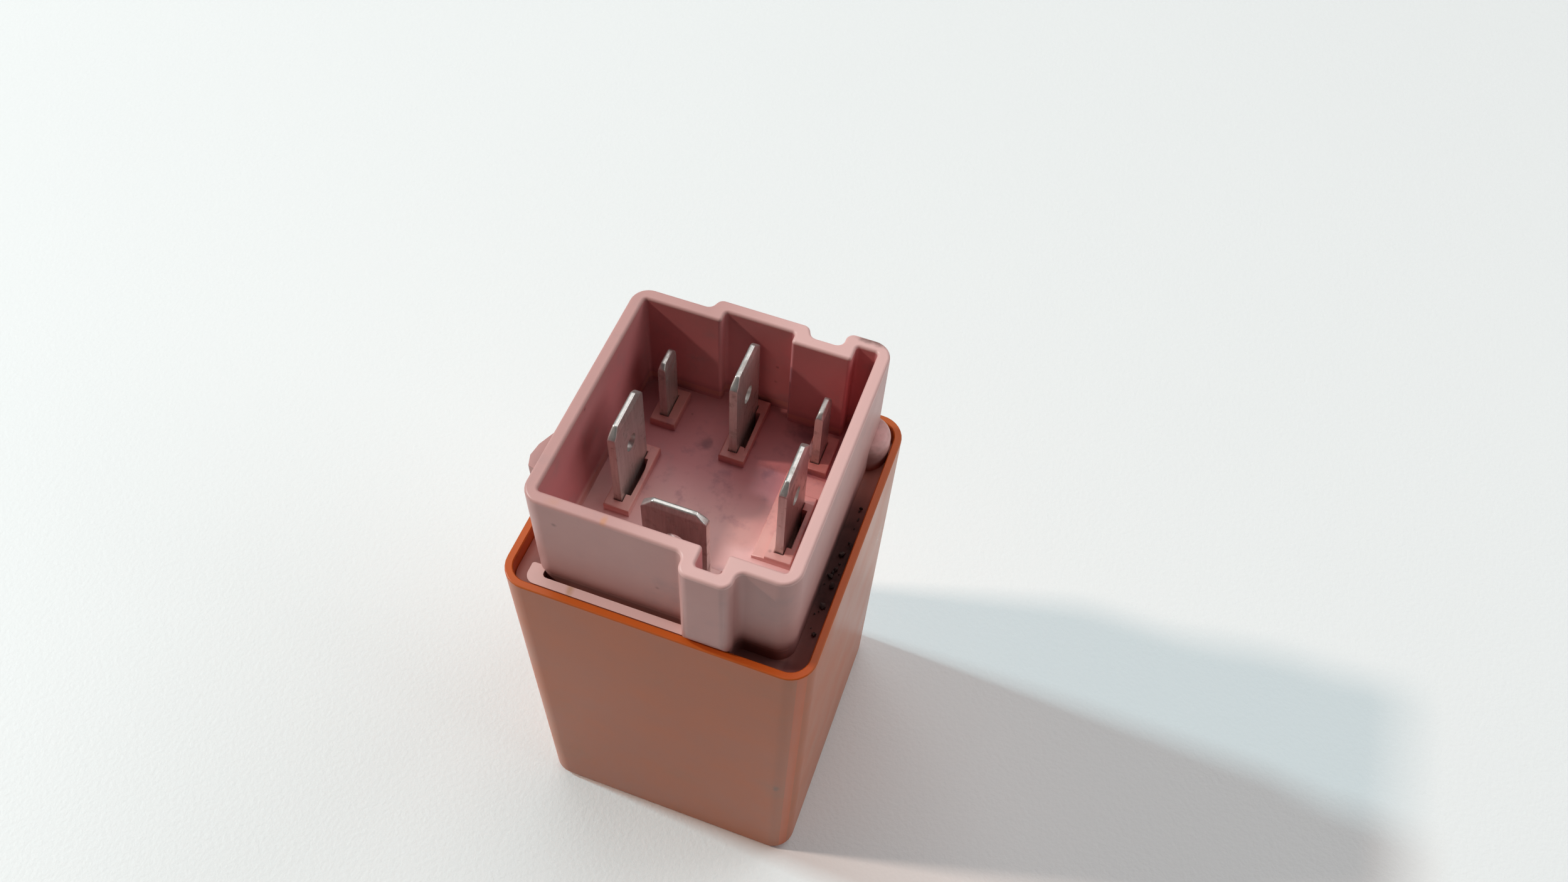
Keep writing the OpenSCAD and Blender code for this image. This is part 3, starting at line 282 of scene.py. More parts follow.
def unfold(piece):
    """Closes the upright folds where the outline of a flat top runs back over itself."""
    points = piece.data.vertices
    folds = []
    for face in piece.data.polygons:
        if face.normal.z > UP:
            ring = [points[k].co.xy for k in face.vertices]
            for k in range(len(ring)):
                a, b, c, d = (ring[(k + n) % len(ring)] for n in range(4))
                before, along, after = ((q - p).normalized() for p, q in ((a, b), (b, c), (c, d)))
                if max(before @ along, along @ after) < RUNS_BACK:
                    folds.append(((b + c)/2, (c - b).length/2 + PLAY))
    for middle, reach in folds:
        unmark(piece.data)
        for point in piece.data.vertices:
            point.select = (point.co.xy - middle).length < reach
        edit(piece, "VERT")
        bpy.ops.transform.resize(value=(0, 0, 1))
        bpy.ops.mesh.remove_doubles(threshold=MERGE)
        done()


def round_lip(piece, top, width, steps):
    """Rounds both edges of the flat ring at height top: lowers it, then draws it in and up."""
    unmark(piece.data)
    for face in piece.data.polygons:
        face.select = face.normal.z > UP and face.center.z > top - PLAY
    edit(piece, "FACE")
    bpy.ops.transform.translate(value=(0, 0, -width))
    for k in range(steps):  # from angle low to angle high of a quarter circle
        low, high = math.pi/2*k/steps, math.pi/2*(k + 1)/steps
        bpy.ops.mesh.inset(thickness=width*(math.cos(low) - math.cos(high)), depth=0,
                           use_boundary=True, use_even_offset=True)
        bpy.ops.transform.translate(value=(0, 0, width*(math.sin(high) - math.sin(low))))
    done()


def mark_faces(piece, name, marked):
    """Stores on each face whether it is one of those marked, for a material to read."""
    mark = piece.data.attributes.new(name, "FLOAT", "FACE")
    mark.data.foreach_set("value", [float(k in marked) for k in range(len(piece.data.polygons))])


def socket_faces(piece, start_z, low_z, high_z):
    """The faces that can be reached from the socket's floor at start_z, between two heights."""
    near_middle, same_level = 9*MM, 0.05*MM
    shape = bmesh.new()
    shape.from_mesh(piece.data)
    waiting = [f for f in shape.faces if f.normal.z > 0.9
               and abs(f.calc_center_median().z - start_z) < same_level
               and f.calc_center_median().to_2d().length < near_middle]
    found = set()
    while waiting:
        face = waiting.pop()
        heights = [v.co.z for v in face.verts]
        if face.index in found or max(heights) < low_z or min(heights) > high_z:
            continue
        found.add(face.index)
        waiting.extend(other for edge in face.edges for other in edge.link_faces)
    shape.free()
    return found


def smooth_faces(piece, angle):
    """Shades smooth across edges under an angle, and keeps large flat faces flat."""
    take(piece)
    bpy.ops.object.shade_smooth_by_angle(angle=math.radians(angle))
    bpy.ops.object.modifier_add(type="WEIGHTED_NORMAL")
    flatten = piece.modifiers[-1]
    flatten.keep_sharp = True
    bpy.ops.object.modifier_apply(modifier=flatten.name)


def dress(piece, node, material, body="case"):
    """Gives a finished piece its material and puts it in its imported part's place."""
    piece.data.materials.append(material)
    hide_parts(node)
    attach(piece, body)


# ---- Shader building blocks ----

def feed(tree, sockets, values):
    """Sets sockets to values, or links them when the value is another node's output."""
    for key, value in values.items():
        if hasattr(value, "is_output"):
            tree.links.new(value, sockets[key])
        else:
            sockets[key].default_value = value


def put(tree, kind, values=None, **settings):
    """Adds a node with its settings, and feeds its sockets."""
    node = tree.nodes.new("ShaderNode" + kind)
    for name, value in settings.items():
        setattr(node, name, value)
    feed(tree, node.inputs, values or {})
    return node


def maths(tree, operation, *values, kind="Math", result=0):
    """The result of one calculation on numbers, or with kind VectorMath on vectors."""
    return put(tree, kind, dict(enumerate(values)), operation=operation).outputs[result]


def times(tree, *values):
    """Multiplies masks and plain numbers together."""
    product = values[0]
    for value in values[1:]:
        product = maths(tree, "MULTIPLY", product, value)
    return product


def ramp(tree, value, start, end, low=0.0, high=1.0, **settings):
    """Goes from low to high, and no further, while the value goes from start to end."""
    node = put(tree, "MapRange", {"Value": value, "From Min": start, "From Max": end,
                                  "To Min": low, "To Max": high}, **settings)
    return node.outputs["Result"]


def scaled(tree, mask, low, high):
    """Runs a 0 to 1 mask from low to high."""
    return ramp(tree, mask, 0.0, 1.0, low, high)


def noise(tree, where, scale, detail, roughness=0.5):
    """Unevenness from 0 to 1."""
    return put(tree, "TexNoise", {"Vector": where, "Scale": scale, "Detail": detail,
                                  "Roughness": roughness}).outputs["Fac"]


def blend_colour(tree, first, second, amount):
    """Mixes two colours, each a socket or a plain value, by a mask."""
    return put(tree, "Mix", {0: amount, 6: first, 7: second}, data_type="RGBA").outputs[2]


def tinted(tree, colour, tint, *masks):
    """Lays a tint over a colour as far as the product of the masks says."""
    return blend_colour(tree, colour, (*tint, 1), times(tree, *masks))


def shade(colour, factor):
    """The same colour, darker or paler."""
    return [c*factor for c in colour[:3]] + [1]


def bump(tree, shader, height, strength, depth):
    """Gives a material its fine relief."""
    relief = put(tree, "Bump", {"Height": height, "Strength": strength, "Distance": depth})
    feed(tree, shader.inputs, {"Normal": relief.outputs["Normal"]})


def new_material(name):
    """A node material with its shader and its object coordinates."""
    material = bpy.data.materials.new(name)
    material.use_nodes = True
    tree = material.node_tree
    return material, tree, tree.nodes["Principled BSDF"], put(tree, "TexCoord").outputs["Object"]


# ---- Shared effects ----

def built_once(build):
    """Turns the builder of a shared effect into a function that gives the one node group."""
    name = build.__name__.replace("_", " ").capitalize()

    @functools.wraps(build)
    def shared():
        if name not in bpy.data.node_groups:
            build(name)
        return bpy.data.node_groups[name]

    return shared


def effect(name, inputs, outputs):
    """Starts a node group: its inputs come with their defaults, and its outputs are numbers."""
    tree = bpy.data.node_groups.new(name, "ShaderNodeTree")
    for label, value in inputs.items():
        kind = "NodeSocketVector" if isinstance(value, tuple) else "NodeSocketFloat"
        socket = tree.interface.new_socket(label, in_out="INPUT", socket_type=kind)
        socket.default_value = value
    for label in outputs:
        tree.interface.new_socket(label, in_out="OUTPUT", socket_type="NodeSocketFloat")
    return tree, tree.nodes.new("NodeGroupInput").outputs, tree.nodes.new("NodeGroupOutput").inputs


@built_once
def moulded_grain(name):
    """Fine surface unevenness of moulded plastic, and a soft large-scale mottle."""
    tree, into, out = effect(name, {"Vector": (0, 0, 0), "Grain Scale": 4000,
                                    "Mottle Scale": 180}, ("Height", "Mottle"))
    fine = noise(tree, into["Vector"], into["Grain Scale"], detail=3, roughness=0.6)
    broad = noise(tree, into["Vector"], into["Mottle Scale"], detail=4)
    feed(tree, out, {"Height": fine, "Mottle": ramp(tree, broad, 0.25, 0.75)})


@built_once
def patches(name):
    """Irregular patches, from few and small to many and large."""
    tree, into, out = effect(name, {"Vector": (0, 0, 0), "Scale": 300, "Amount": 0.4,
                                    "Softness": 0.1}, ("Mask",))
    uneven = noise(tree, into["Vector"], into["Scale"], detail=5, roughness=0.6)
    low = maths(tree, "SUBTRACT", 1.0, into["Amount"])
    high = maths(tree, "ADD", low, into["Softness"])
    feed(tree, out, {"Mask": ramp(tree, uneven, low, high, interpolation_type="SMOOTHSTEP")})


@built_once
def specks(name):
    """Scattered round specks of uneven size."""
    tree, into, out = effect(name, {"Vector": (0, 0, 0), "Scale": 800, "Share": 0.2,
                                    "Size": 0.25}, ("Mask",))
    cells = put(tree, "TexVoronoi", {"Vector": into["Vector"], "Scale": into["Scale"],
                                     "Randomness": 1.0}).outputs
    pick = put(tree, "SeparateColor", {"Color": cells["Color"]}).outputs
    chosen = maths(tree, "LESS_THAN", pick["Red"], into["Share"])
    size = times(tree, pick["Green"], into["Size"])
    near = ramp(tree, cells["Distance"], 0.0, size, 1.0, 0.0, interpolation_type="SMOOTHSTEP")
    feed(tree, out, {"Mask": times(tree, near, chosen)})


@built_once
def level_band(name):
    """1 from low to high and 0 outside, with a soft border."""
    tree, into, out = effect(name, {"Value": 0.0, "Low": 0.0, "High": 1.0, "Border": 0.0001},
                             ("Mask",))
    under = maths(tree, "SUBTRACT", into["Low"], into["Border"])
    over = maths(tree, "ADD", into["High"], into["Border"])
    rise = ramp(tree, into["Value"], under, into["Low"])
    fall = ramp(tree, into["Value"], into["High"], over, 1.0, 0.0)
    feed(tree, out, {"Mask": times(tree, rise, fall)})


@built_once
def drawn_lines(name):
    """Fine lines along the height, as rolled and drawn metal shows."""
    tree, into, out = effect(name, {"Vector": (0, 0, 0), "Scale": 3000,
                                    "Stretch": (1, 1, 0.06)}, ("Height", "Streak"))
    squeezed = maths(tree, "MULTIPLY", into["Vector"], into["Stretch"], kind="VectorMath")
    lines = noise(tree, squeezed, into["Scale"], detail=4, roughness=0.7)
    feed(tree, out, {"Height": lines, "Streak": ramp(tree, lines, 0.35, 0.65)})


@built_once
def soft_spot(name):
    """1 at a place and 0 beyond a reach from it along each axis, with a ragged edge."""
    tree, into, out = effect(name, {"Vector": (0, 0, 0), "Place": (0, 0, 0),
                                    "Reach": (MM, MM, MM)}, ("Mask",))
    away = maths(tree, "SUBTRACT", into["Vector"], into["Place"], kind="VectorMath")
    relative = maths(tree, "DIVIDE", away, into["Reach"], kind="VectorMath")
    far = maths(tree, "LENGTH", relative, kind="VectorMath", result="Value")
    ragged = maths(tree, "ADD", far, noise(tree, into["Vector"], 1500.0, detail=3))
    feed(tree, out, {"Mask": ramp(tree, ragged, 0.6, 1.6, 1.0, 0.0,
                                  interpolation_type="SMOOTHSTEP")})


def place(tree, group, values):
    """Places a shared effect in a material, with this material's own values."""
    node = tree.nodes.new("ShaderNodeGroup")
    node.node_tree = group
    feed(tree, node.inputs, values)
    return node.outputs


def grained(tree, where, grain_scale, mottle_scale):
    """The relief and the mottle of moulded plastic."""
    return place(tree, moulded_grain(), {"Vector": where, "Grain Scale": grain_scale,
                                         "Mottle Scale": mottle_scale})


def patchy(tree, where, scale, amount, softness):
    """Mask of patches: how fine, how much they cover, and how soft their borders are."""
    return place(tree, patches(), {"Vector": where, "Scale": scale, "Amount": amount,
                                   "Softness": softness})["Mask"]


def speckled(tree, where, scale, share, size):
    """Mask of specks: how fine, how many of them show, and how large they are."""
    return place(tree, specks(), {"Vector": where, "Scale": scale, "Share": share,
                                  "Size": size})["Mask"]


def band(tree, value, start, end, border):
    """Mask of one stretch of an axis; its ends and its border are in mm."""
    return place(tree, level_band(), {"Value": value, "Low": start*MM, "High": end*MM,
                                      "Border": border*MM})["Mask"]


def spot(tree, where, at, reach):
    """Mask of one worn or dirty spot; its place and its reach along each axis are in mm."""
    return place(tree, soft_spot(), {"Vector": where, "Place": [c*MM for c in at],
                                     "Reach": [c*MM for c in reach]})["Mask"]


def face_mask(tree, name):
    """Mask of the faces that mark_faces stored under this name."""
    return put(tree, "Attribute", attribute_name=name).outputs["Fac"]


# ---- Materials ----

def cover_plastic(colours):
    """Hazy, stained orange plastic, fresher unevenly along the rim, with a painted glow of light
    through the wall on its inside.
    """
    material, tree, shader, where = new_material("cover_plastic")
    wide, deep, rim_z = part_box("cover")[1]
    rim = rim_z/MM
    x, y, z = put(tree, "SeparateXYZ", {0: where}).outputs
    grain = grained(tree, where, 5200, 130)
    colour = blend_colour(tree, shade(colours.cover, 0.90), shade(colours.cover, 1.08),
                          grain["Mottle"])
    colour = tinted(tree, colour, COVER_HAZE, patchy(tree, where, 70, 0.55, 0.3), 0.25)
    colour = tinted(tree, colour, OLIVE_STAIN, patchy(tree, where, 110, 0.48, 0.3), 0.35)
    colour = tinted(tree, colour, COVER_SCUFF, speckled(tree, where, 120, 0.05, 0.10), 0.5)
    low_scuff = spot(tree, where, (13.6, -15.9, rim - 28.5), (0.45, 1, 1.1))
    colour = tinted(tree, colour, LOW_SCUFF, low_scuff, 0.6)
    # The rim's fresh orange fades towards its outer edge
    fresh = times(tree, band(tree, z, rim - 0.05, rim, 0.4),
                  scaled(tree, grain["Mottle"], 0.6, 1.0))
    gaps = [maths(tree, "SUBTRACT", half, maths(tree, "ABSOLUTE", value))
            for half, value in ((wide, x), (deep, y))]
    across = ramp(tree, maths(tree, "MINIMUM", *gaps), 0.1*MM, 0.7*MM, low=0.45)
    colour = blend_colour(tree, colour, colours.rim, times(tree, fresh, across))
    # Painted glow of light shining through the wall, on the cover's inner faces
    colour = blend_colour(tree, colour, shade(colours.rim, 0.9),
                          times(tree, face_mask(tree, "inner"), 0.85))
    feed(tree, shader.inputs, {"Base Color": colour, "Specular IOR Level": 0.27,
                               "Roughness": scaled(tree, grain["Mottle"], 0.27, 0.36)})
    bump(tree, shader, grain["Height"], strength=0.2, depth=0.02*MM)
    return material


def base_plastic(colours):
    """Faded pink plastic: painted bounce light and shade deepen the socket; wear and painted light
    pale its edges; dirt and painted shade darken the trough.
    """
    material, tree, shader, where = new_material("base_plastic")
    low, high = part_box("base")
    bottom, top, side, rim = low.z/MM, high.z/MM, high.x/MM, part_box("cover")[1][2]/MM
    x, y, z = put(tree, "SeparateXYZ", {0: where}).outputs
    inside = face_mask(tree, "inside")
    grain = grained(tree, where, 4200, 220)
    # Faded outside; down inside the socket a deeper colour, growing with depth, is painted bounce
    # light and shade
    deep = ramp(tree, z, high.z - 0.3*MM, high.z - 4*MM)
    colour = blend_colour(tree, colours.base, colours.inside,
                          times(tree, inside, scaled(tree, deep, 0.75, 1.0)))
    colour = tinted(tree, colour, MOTTLE, grain["Mottle"], 0.14)
    # Painted orange light reflected from the cover, redder down in the trough next to it
    colour = tinted(tree, colour, COVER_BOUNCE_LIGHT, band(tree, z, bottom, rim - 1.6, 1.2), 0.6)
    colour = tinted(tree, colour, HANDLING_GREY, patchy(tree, where, 260, 0.48, 0.25), 0.35)
    # The socket's floor: paler at the front with painted light, darker towards the back with
    # painted shade, and smudged towards the back
    floor = times(tree, band(tree, z, rim - 0.5, rim + 1.3, 0.8), inside)
    colour = tinted(tree, colour, PAINTED_FLOOR_LIGHT, floor, band(tree, y, -16, -3, 6), 0.8)
    colour = tinted(tree, colour, PAINTED_FLOOR_SHADE, floor, band(tree, y, 2, 16, 6), 0.35)
    # Pedestals paler and more orange, partly from wear and partly as a painted highlight
    pedestals = times(tree, band(tree, z, rim + 0.45, rim + 1.1, 0.1), inside)
    colour = tinted(tree, colour, PEDESTAL_WEAR_AND_HIGHLIGHT, pedestals, 0.4)
    smudge = times(tree, patchy(tree, where, 420, 0.50, 0.25), band(tree, y, -1, 7, 4))
    colour = tinted(tree, colour, SMUDGE, smudge, floor, 0.55)
    for at, reach in (((-2.9, 5.9), (0.9, 1.1)), ((6.3, 10.6), (2.4, 1.6)),
                      ((1.2, 7.6), (1, 0.7))):
        dark = spot(tree, where, (*at, rim - 0.1), (*reach, 0.5))
        colour = tinted(tree, colour, FLOOR_SPOT, dark, inside, 0.6)
    # Painted light making the top of the ledge in front of the shroud paler
    ledge = times(tree, band(tree, z, rim - 0.1, rim + 0.1, 0.1), band(tree, y, -16, -13, 0.5))
    colour = tinted(tree, colour, PAINTED_LEDGE_LIGHT, ledge, 0.8)
    # Paler worn lip, most of all at the right
    colour = tinted(tree, colour, LIP_WORN, band(tree, z, top - 0.3, top + 0.1, 0.1),
                    scaled(tree, band(tree, x, 4, 20, 9), 0.1, 0.6))
    # Grime, painted shade and red bounce light low on the shroud's outside; dirt and painted shade
    # in the troughs; dirt packed into the right one
    foot = times(tree, band(tree, z, bottom, rim + 0.1, 1.9), face_mask(tree, "upright"))
    outside = maths(tree, "SUBTRACT", 1.0, inside)
    fore = band(tree, y, -20, 5, 4)
    grime_and_shade = times(tree, fore, scaled(tree, band(tree, x, 6, 16, 5), 0.3, 0.5))
    colour = tinted(tree, colour, FOOT_GRIME_AND_SHADE, foot, outside, grime_and_shade)
    right = times(tree, band(tree, z, bottom, rim - 0.8, 2.2),
                  band(tree, x, side - 2.1, side, 0.5))
    near_key = times(tree, band(tree, z, bottom, rim - 0.8, 1.2),
                     band(tree, y, -16, -13.5, 0.5))
    # Dirt and painted shade in the front trough beside the key
    colour = tinted(tree, colour, KEY_DIRT_AND_SHADE, near_key, band(tree, x, 5.5, 13, 1.5), 0.75)
    # Dirt and painted shade along the right-hand trough
    colour = tinted(tree, colour, TROUGH_DIRT_AND_SHADE, right, fore, 0.65)
    packed = times(tree, right, band(tree, y, -5, 1, 6))
    colour = tinted(tree, colour, PACKED_DIRT, packed,
                    scaled(tree, patchy(tree, where, 600, 0.58, 0.3), 0.7, 1.0))
    # Orange rubbed off on the lip and the ledge, dark scuffs on the lip, and painted light on the
    # nose, which lies in shade: the place and reach of each in mm, its tint and how strong it is
    rubs = (((-4.7, -13.2, top), (0.45, 0.8, 0.4), (0.60, 0.26, 0.13), 0.7),
            ((-9.6, -12.9, top), (0.9, 0.6, 0.4), (0.56, 0.27, 0.18), 0.35),
            ((-8.6, -14.5, rim), (0.5, 0.9, 0.4), (0.52, 0.27, 0.16), 0.8),
            ((-12.9, 2.5, top), (0.3, 0.35, 0.5), (0.20, 0.12, 0.10), 0.6),
            ((11.2, 14.6, top), (2.4, 0.6, 0.6), (0.16, 0.08, 0.07), 0.85),
            ((13.4, 13.9, top), (0.5, 0.9, 0.5), (0.22, 0.12, 0.11), 0.6),
            # Painted light on the nose, which lies in shade
            ((14.0, 12.0, rim + 1.4), (1.5, 2.2, 1.8), (0.86, 0.47, 0.46), 0.7))
    for at, reach, tint, strength in rubs:
        colour = tinted(tree, colour, tint, spot(tree, where, at, reach), strength)
    colour = tinted(tree, colour, NICK, speckled(tree, where, 520, 0.10, 0.2), 0.6)
    # Matt where the dirt lies
    polish = put(tree, "Mix", {0: right, 2: scaled(tree, grain["Mottle"], 0.36, 0.48), 3: 0.9})
    feed(tree, shader.inputs, {"Base Color": colour, "Roughness": polish.outputs[0],
                               "Specular IOR Level": 0.42})
    bump(tree, shader, grain["Height"], strength=0.22, depth=0.025*MM)
    return material


def plated_metal(name, colour, dull, lines, smudge, roughness, metallic=1.0):
    """Metal with drawn lines, dull smudges and an uneven polish."""
    material, tree, shader, where = new_material(name)
    drawn = place(tree, drawn_lines(), {"Vector": where, "Scale": lines, "Stretch": (1, 1, 0.07)})
    smudges = patchy(tree, where, 700, 0.46, 0.12)
    tone = blend_colour(tree, shade(colour, 0.86), shade(colour, 1.1), drawn["Streak"])
    feed(tree, shader.inputs, {
        "Base Color": tinted(tree, tone, dull[:3], smudges, smudge), "Metallic": metallic,
        "Roughness": scaled(tree, smudges, roughness, roughness + 0.2)})
    bump(tree, shader, drawn["Height"], strength=0.2, depth=0.012*MM)
    return material


def plain_plastic(name, colour, roughness, grain_scale=4500):
    """Clean moulded plastic or lacquer with a soft mottle."""
    material, tree, shader, where = new_material(name)
    grain = grained(tree, where, grain_scale, 300)
    tone = blend_colour(tree, shade(colour, 0.9), shade(colour, 1.08), grain["Mottle"])
    feed(tree, shader.inputs, {
        "Base Color": tone,
        "Roughness": scaled(tree, grain["Mottle"], roughness, roughness + 0.12)})
    bump(tree, shader, grain["Height"], strength=0.2, depth=0.02*MM)
    return material


def wound_wire(name, colour, across, pitch):
    """Turns of wire that lie side by side along an axis, each one round, with painted shade
    between them.
    """
    material, tree, shader, where = new_material(name)
    # At scale 1 the texture goes through 20 radians for each metre of an axis
    turns = put(tree, "TexWave", {"Vector": where, "Scale": 2*math.pi/(20*pitch),
                                  "Distortion": 0.25, "Detail": 1.0, "Detail Scale": 2.0},
                wave_type="BANDS", bands_direction=across, wave_profile="SIN").outputs["Fac"]
    patch = patchy(tree, where, 350, 0.5, 0.2)
    # Painted shade darkens the wire between its turns
    tone = blend_colour(tree, shade(colour, 0.55), shade(colour, 1.1), turns)
    feed(tree, shader.inputs, {
        "Base Color": blend_colour(tree, tone, shade(colour, 0.7), times(tree, patch, 0.4)),
        "Roughness": scaled(tree, patch, 0.28, 0.42), "Metallic": 0.85})
    bump(tree, shader, turns, strength=0.8, depth=pitch*0.4)
    return material


def road_dirt(colours):
    """Dark matt crumbs."""
    material, tree, shader, where = new_material("road_dirt")
    grain = grained(tree, where, 9000, 2500)
    tone = tinted(tree, colours.soot, DIRT_PALE, grain["Mottle"])
    feed(tree, shader.inputs, {"Base Color": tone, "Roughness": 0.85})
    bump(tree, shader, grain["Height"], strength=0.5, depth=0.03*MM)
    return material


def floor_material(colours):
    """Pale floor with a faint leather-like emboss."""
    material, tree, shader, where = new_material("studio_floor")
    grain = grained(tree, where, 1600, 9)
    tone = blend_colour(tree, shade(colours.floor, 0.985), shade(colours.floor, 1.0),
                        grain["Mottle"])
    feed(tree, shader.inputs, {"Base Color": tone, "Roughness": 0.55})
    bump(tree, shader, grain["Height"], strength=0.3, depth=0.2*MM)
    return material


def finish_nodes(names, material):
    """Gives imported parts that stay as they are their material."""
    for name in names:
        for own_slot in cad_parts[name].material_slots:
            own_slot.material = material


# ---- Pieces ----

class RELAY_OT_cover(Operator):
    """Finish the orange cover, its corners and rim smooth"""

    bl_idname = "relay.cover"
    bl_label = "Finish cover"

    def execute(self, context):
        cover = merged_copy("cover", "cover_shell")
        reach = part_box("cover")[1] - Vector((0.5, 0.5, 0))*MM  # beyond it lies the outside
        mark_faces(cover, "inner", {f.index for f in cover.data.polygons
                                    if abs(f.center.x) < reach.x and abs(f.center.y) < reach.y})
        smooth_faces(cover, angle=32)
        dress(cover, "cover", cover_plastic(context.scene.relay_colours))
        return {"FINISHED"}


class RELAY_OT_base(Operator):
    """Finish the pink base: round the shroud's lip and the edges of its pedestals"""

    bl_idname = "relay.base"
    bl_label = "Finish base and shroud"

    def execute(self, context):
        sizes = context.scene.relay_shape
        base = merged_copy("base", "socket_base")
        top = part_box("base")[1][2]
        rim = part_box("cover")[1][2]
        # The pedestals' tops lie between low and high; edges under the shortest stay sharp
        low, high, shortest = rim + 0.2*MM, rim + 1.2*MM, 0.7*MM

        def on_pedestal(a, b):
            level = abs(a.z - b.z) < PLAY and low < min(a.z, b.z) and max(a.z, b.z) < high
            return level and (b - a).length > shortest

        unfold(base)
        round_lip(base, top, sizes.lip_round, steps=4)
        round_edges(base, 60, on_pedestal, sizes.step_round, steps=2)
        mark_faces(base, "upright", {f.index for f in base.data.polygons
                                     if abs(f.normal.z) < 0.5})
        floor = rim - 0.1*MM
        mark_faces(base, "inside", socket_faces(base, floor, rim - 0.3*MM,
                                                top - sizes.lip_round - PLAY))
        smooth_faces(base, angle=38)
        dress(base, "base", base_plastic(context.scene.relay_colours))
        return {"FINISHED"}


class RELAY_OT_blades(Operator):
    """Finish the six blades, their stamped edges worn round"""

    bl_idname = "relay.blades"
    bl_label = "Finish blades"

    def execute(self, context):
        sizes = context.scene.relay_shape
        colours = context.scene.relay_colours
        tinned = plated_metal("tinned_blade", colours.tin, dull=(0.30, 0.25, 0.23), lines=2600,
                              smudge=0.4, roughness=0.34, metallic=0.8)
        foot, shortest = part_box("cover")[1][2] + 1.0*MM, 0.3*MM

        def outline(a, b):
            return min(a.z, b.z) > foot and (b - a).length > shortest

        for node in BLADES:
            blade = merged_copy(node, node.replace("terminal", "blade"))
            round_edges(blade, 25, outline, sizes.blade_round, steps=3)
            smooth_faces(blade, angle=35)
            dress(blade, node, tinned)
        return {"FINISHED"}


class RELAY_OT_coil(Operator):
    """Give the coil, its bobbin, its leads and the resistor their finishes"""

    bl_idname = "relay.coil"
    bl_label = "Finish coil"

    def execute(self, context):
        colours = context.scene.relay_colours
        iron = plated_metal("soft_iron", colours.zinc, dull=(0.34, 0.33, 0.28), lines=1500,
                            smudge=0.4, roughness=0.32)
        lead = plated_metal("enamelled_lead", colours.copper, dull=shade(colours.copper, 0.6),
                            lines=3000, smudge=0.4, roughness=0.28)
        wire = plated_metal("tinned_wire", colours.tin, dull=shade(colours.tin, 0.7),
                            lines=3500, smudge=0.3, roughness=0.3)
        finish_nodes(("yoke", "core", "armature"), iron)
        finish_nodes(("bobbin",), plain_plastic("nylon", colours.nylon, roughness=0.42))
        finish_nodes(("winding",), wound_wire("enamelled_wire", colours.copper, across="Z",
                                              pitch=0.12*MM))
        finish_nodes(("coil_lead_85", "coil_lead_86"), lead)
        finish_nodes(("resistor_body",), plain_plastic("resistor_lacquer", colours.lacquer,
                                                       roughness=0.22, grain_scale=2500))
        finish_nodes(("resistor_leads",), wire)
        return {"FINISHED"}


class RELAY_OT_contacts(Operator):
    """Give the contacts, the springs and the braid their finishes"""

    bl_idname = "relay.contacts"
    bl_label = "Finish contacts"

    def execute(self, context):
        colours = context.scene.relay_colours
        bronze = plated_metal("spring_bronze", colours.bronze, dull=(0.28, 0.15, 0.07),
                              lines=2400, smudge=0.4, roughness=0.3)
        silver = plated_metal("contact_silver", colours.silver, dull=(0.25, 0.22, 0.18),
                              lines=2800, smudge=0.5, roughness=0.26)
        steel = plated_metal("spring_steel", colours.steel, dull=(0.12, 0.11, 0.10),
                             lines=3200, smudge=0.4, roughness=0.3)
        finish_nodes(("contact_blade", "blade_rivets"), bronze)
        finish_nodes(("moving_contact", "make_contact", "break_contact"), silver)
        finish_nodes(("return_spring",), steel)
        finish_nodes(("pigtail",), wound_wire("copper_braid", colours.copper, across="DIAGONAL",
                                              pitch=0.25*MM))
        return {"FINISHED"}


class RELAY_OT_dirt(Operator):
    """Scatter crumbs of dirt along the right-hand trough"""

    bl_idname = "relay.dirt"
    bl_label = "Add trough dirt"

    def execute(self, context):
        sizes = context.scene.relay_shape
        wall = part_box("cover")[1][0] - 1.0*MM
        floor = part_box("cover")[1][2] - 1.8*MM
        trough, width, heap = wall - 1.45*MM, 1.3*MM, 0.25*MM
        near, far = -11.5*MM, 6.5*MM
        chance = random.Random(7)
        crumbs = []
        for k in range(sizes.crumb_count):
            size = sizes.crumb_size*(0.25 + 0.75*chance.random()**2)
            deselect()
            bpy.ops.mesh.primitive_ico_sphere_add(subdivisions=1, radius=size/2)
            crumb = context.object
            bpy.ops.object.mode_set(mode="EDIT")
            bpy.ops.transform.vertex_random(offset=size*0.16, seed=k)
            done()
            along = near + (far - near)*(chance.random() + chance.random())/2
            crumb.location = (trough + size/2 + (width - size)*chance.random(), along,
                              floor + size*0.3 + heap*chance.random()**3)
            crumb.rotation_euler = [chance.uniform(0, 6.28) for _ in range(3)]
            crumb.scale = (1, chance.uniform(0.6, 1.3), chance.uniform(0.5, 0.9))
            crumbs.append(crumb)
        deselect()
        for crumb in crumbs:
            crumb.select_set(True)
        context.view_layer.objects.active = crumbs[0]
        bpy.ops.object.transform_apply(location=True, rotation=True, scale=True)
        bpy.ops.object.join()
        dirt = context.object
        dirt.name = "trough_dirt"
        dirt.data.materials.append(road_dirt(context.scene.relay_colours))
        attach(dirt, "case")
        return {"FINISHED"}


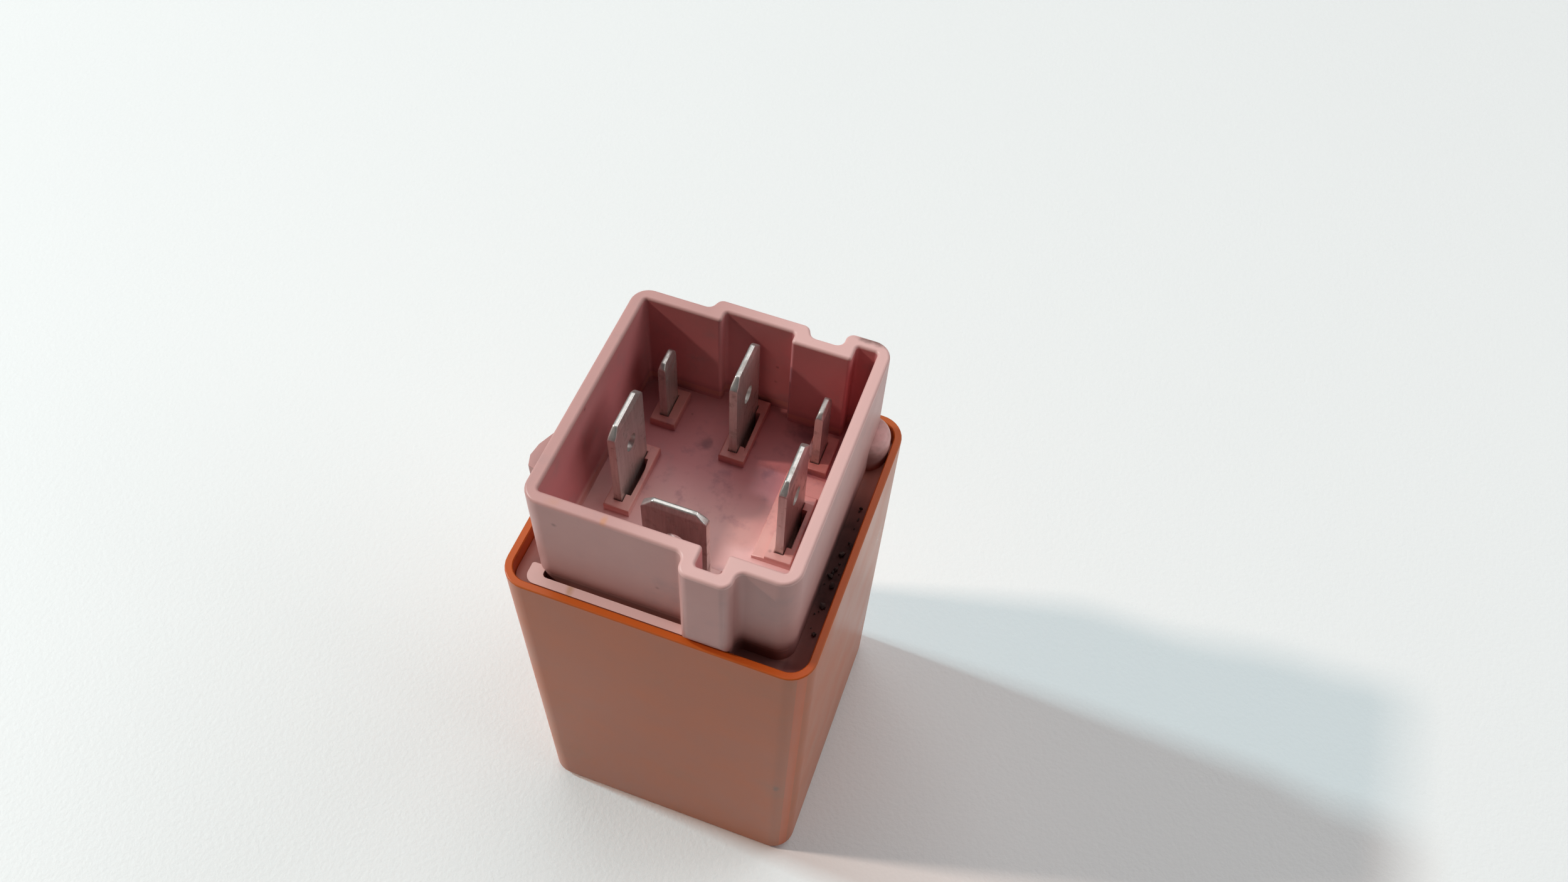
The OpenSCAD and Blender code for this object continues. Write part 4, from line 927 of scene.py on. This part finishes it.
class RELAY_OT_stage(Operator):
    """Set up the floor, the soft lights and the camera"""

    bl_idname = "relay.stage"
    bl_label = "Set up stage"

    def execute(self, context):
        scene = context.scene
        light = scene.relay_light
        deselect()
        bpy.ops.mesh.primitive_plane_add(size=3)
        floor = context.object
        floor.name = "studio_floor"
        floor.data.materials.append(floor_material(scene.relay_colours))

        size = light.key_size
        self.panel(context, "warm_key", (-1.19, -0.30, 1.07), size, light.warm, WARM)
        self.panel(context, "cool_key", (-1.225, 0.025, 1.07), size, light.cool, COOL)
        self.panel(context, "top_panel", (-0.2, 0.6, 1.55), 1.2, light.top, WHITE)
        self.panel(context, "right_panel", (1.3, 0.2, 0.9), 0.9, light.right, WHITE)
        self.panel(context, "back_panel", (1, 1, 1), 0.9, light.back, WHITE)

        world = bpy.data.worlds.new("studio")
        scene.world = world
        world.use_nodes = True
        sky = world.node_tree.nodes["Background"]
        sky.inputs["Color"].default_value = (1, 1, 1, 1)
        sky.inputs["Strength"].default_value = light.sky

        self.camera(context)
        scene.view_settings.view_transform = "Standard"
        return {"FINISHED"}

    def panel(self, context, name, at, size, power, colour):
        """A square light that faces the relay."""
        deselect()
        bpy.ops.object.light_add(type="AREA", location=at)
        lamp = context.object
        lamp.name = name
        lamp.data.size = size
        lamp.data.energy = power
        lamp.data.color = colour
        towards = FACED - Vector(at)
        lamp.rotation_euler = towards.to_track_quat("-Z", "Y").to_euler()

    def camera(self, context):
        """Adds the camera: it looks ahead, and its picture's sides run across and above."""
        turn, down, roll = (math.radians(a) for a in CAMERA_ANGLES)
        ahead = Vector((math.sin(turn)*math.cos(down), math.cos(turn)*math.cos(down),
                        -math.sin(down)))
        level = Vector((math.cos(turn), -math.sin(turn), 0))
        upright = level.cross(ahead)
        across = math.cos(roll)*level + math.sin(roll)*upright
        above = math.cos(roll)*upright - math.sin(roll)*level
        deselect()
        bpy.ops.object.camera_add()
        camera = context.object
        camera.name = "camera"
        pose = Matrix((across, above, -ahead)).transposed().to_4x4()
        pose.translation = CAMERA_AT
        camera.matrix_world = pose
        camera.data.lens = CAMERA_LENS
        camera.data.sensor_width = CAMERA_SENSOR
        camera.data.clip_start = CAMERA_NEAR
        context.scene.camera = camera


class RELAY_PT_panel(Panel):
    """Lists the relay's pieces and their sizes"""

    bl_idname = "RELAY_PT_panel"
    bl_label = "Automotive relay"
    bl_space_type = "VIEW_3D"
    bl_region_type = "UI"
    bl_category = "Relay"

    def draw(self, context):
        layout = self.layout
        for step in STEPS:
            layout.operator(step.bl_idname)
        for title, group in (("Sizes", context.scene.relay_shape),
                             ("Colours", context.scene.relay_colours),
                             ("Light", context.scene.relay_light)):
            box = layout.box()
            box.label(text=title)
            for name in group.__annotations__:
                box.prop(group, name)


STEPS = (RELAY_OT_cover, RELAY_OT_base, RELAY_OT_blades, RELAY_OT_coil, RELAY_OT_contacts,
         RELAY_OT_dirt, RELAY_OT_stage)
CLASSES = (RelayShape, RelayColours, RelayLight) + STEPS + (RELAY_PT_panel,)


def register():
    for kind in CLASSES:
        bpy.utils.register_class(kind)
    bpy.types.Scene.relay_shape = PointerProperty(type=RelayShape)
    bpy.types.Scene.relay_colours = PointerProperty(type=RelayColours)
    bpy.types.Scene.relay_light = PointerProperty(type=RelayLight)


def unregister():
    del bpy.types.Scene.relay_light
    del bpy.types.Scene.relay_colours
    del bpy.types.Scene.relay_shape
    for kind in reversed(CLASSES):
        bpy.utils.unregister_class(kind)


def main():
    """Makes the pieces and the stage."""
    register()
    bpy.ops.relay.cover()
    bpy.ops.relay.base()
    bpy.ops.relay.blades()
    bpy.ops.relay.coil()
    bpy.ops.relay.contacts()
    bpy.ops.relay.dirt()
    bpy.ops.relay.stage()


if __name__ == "__main__":
    main()
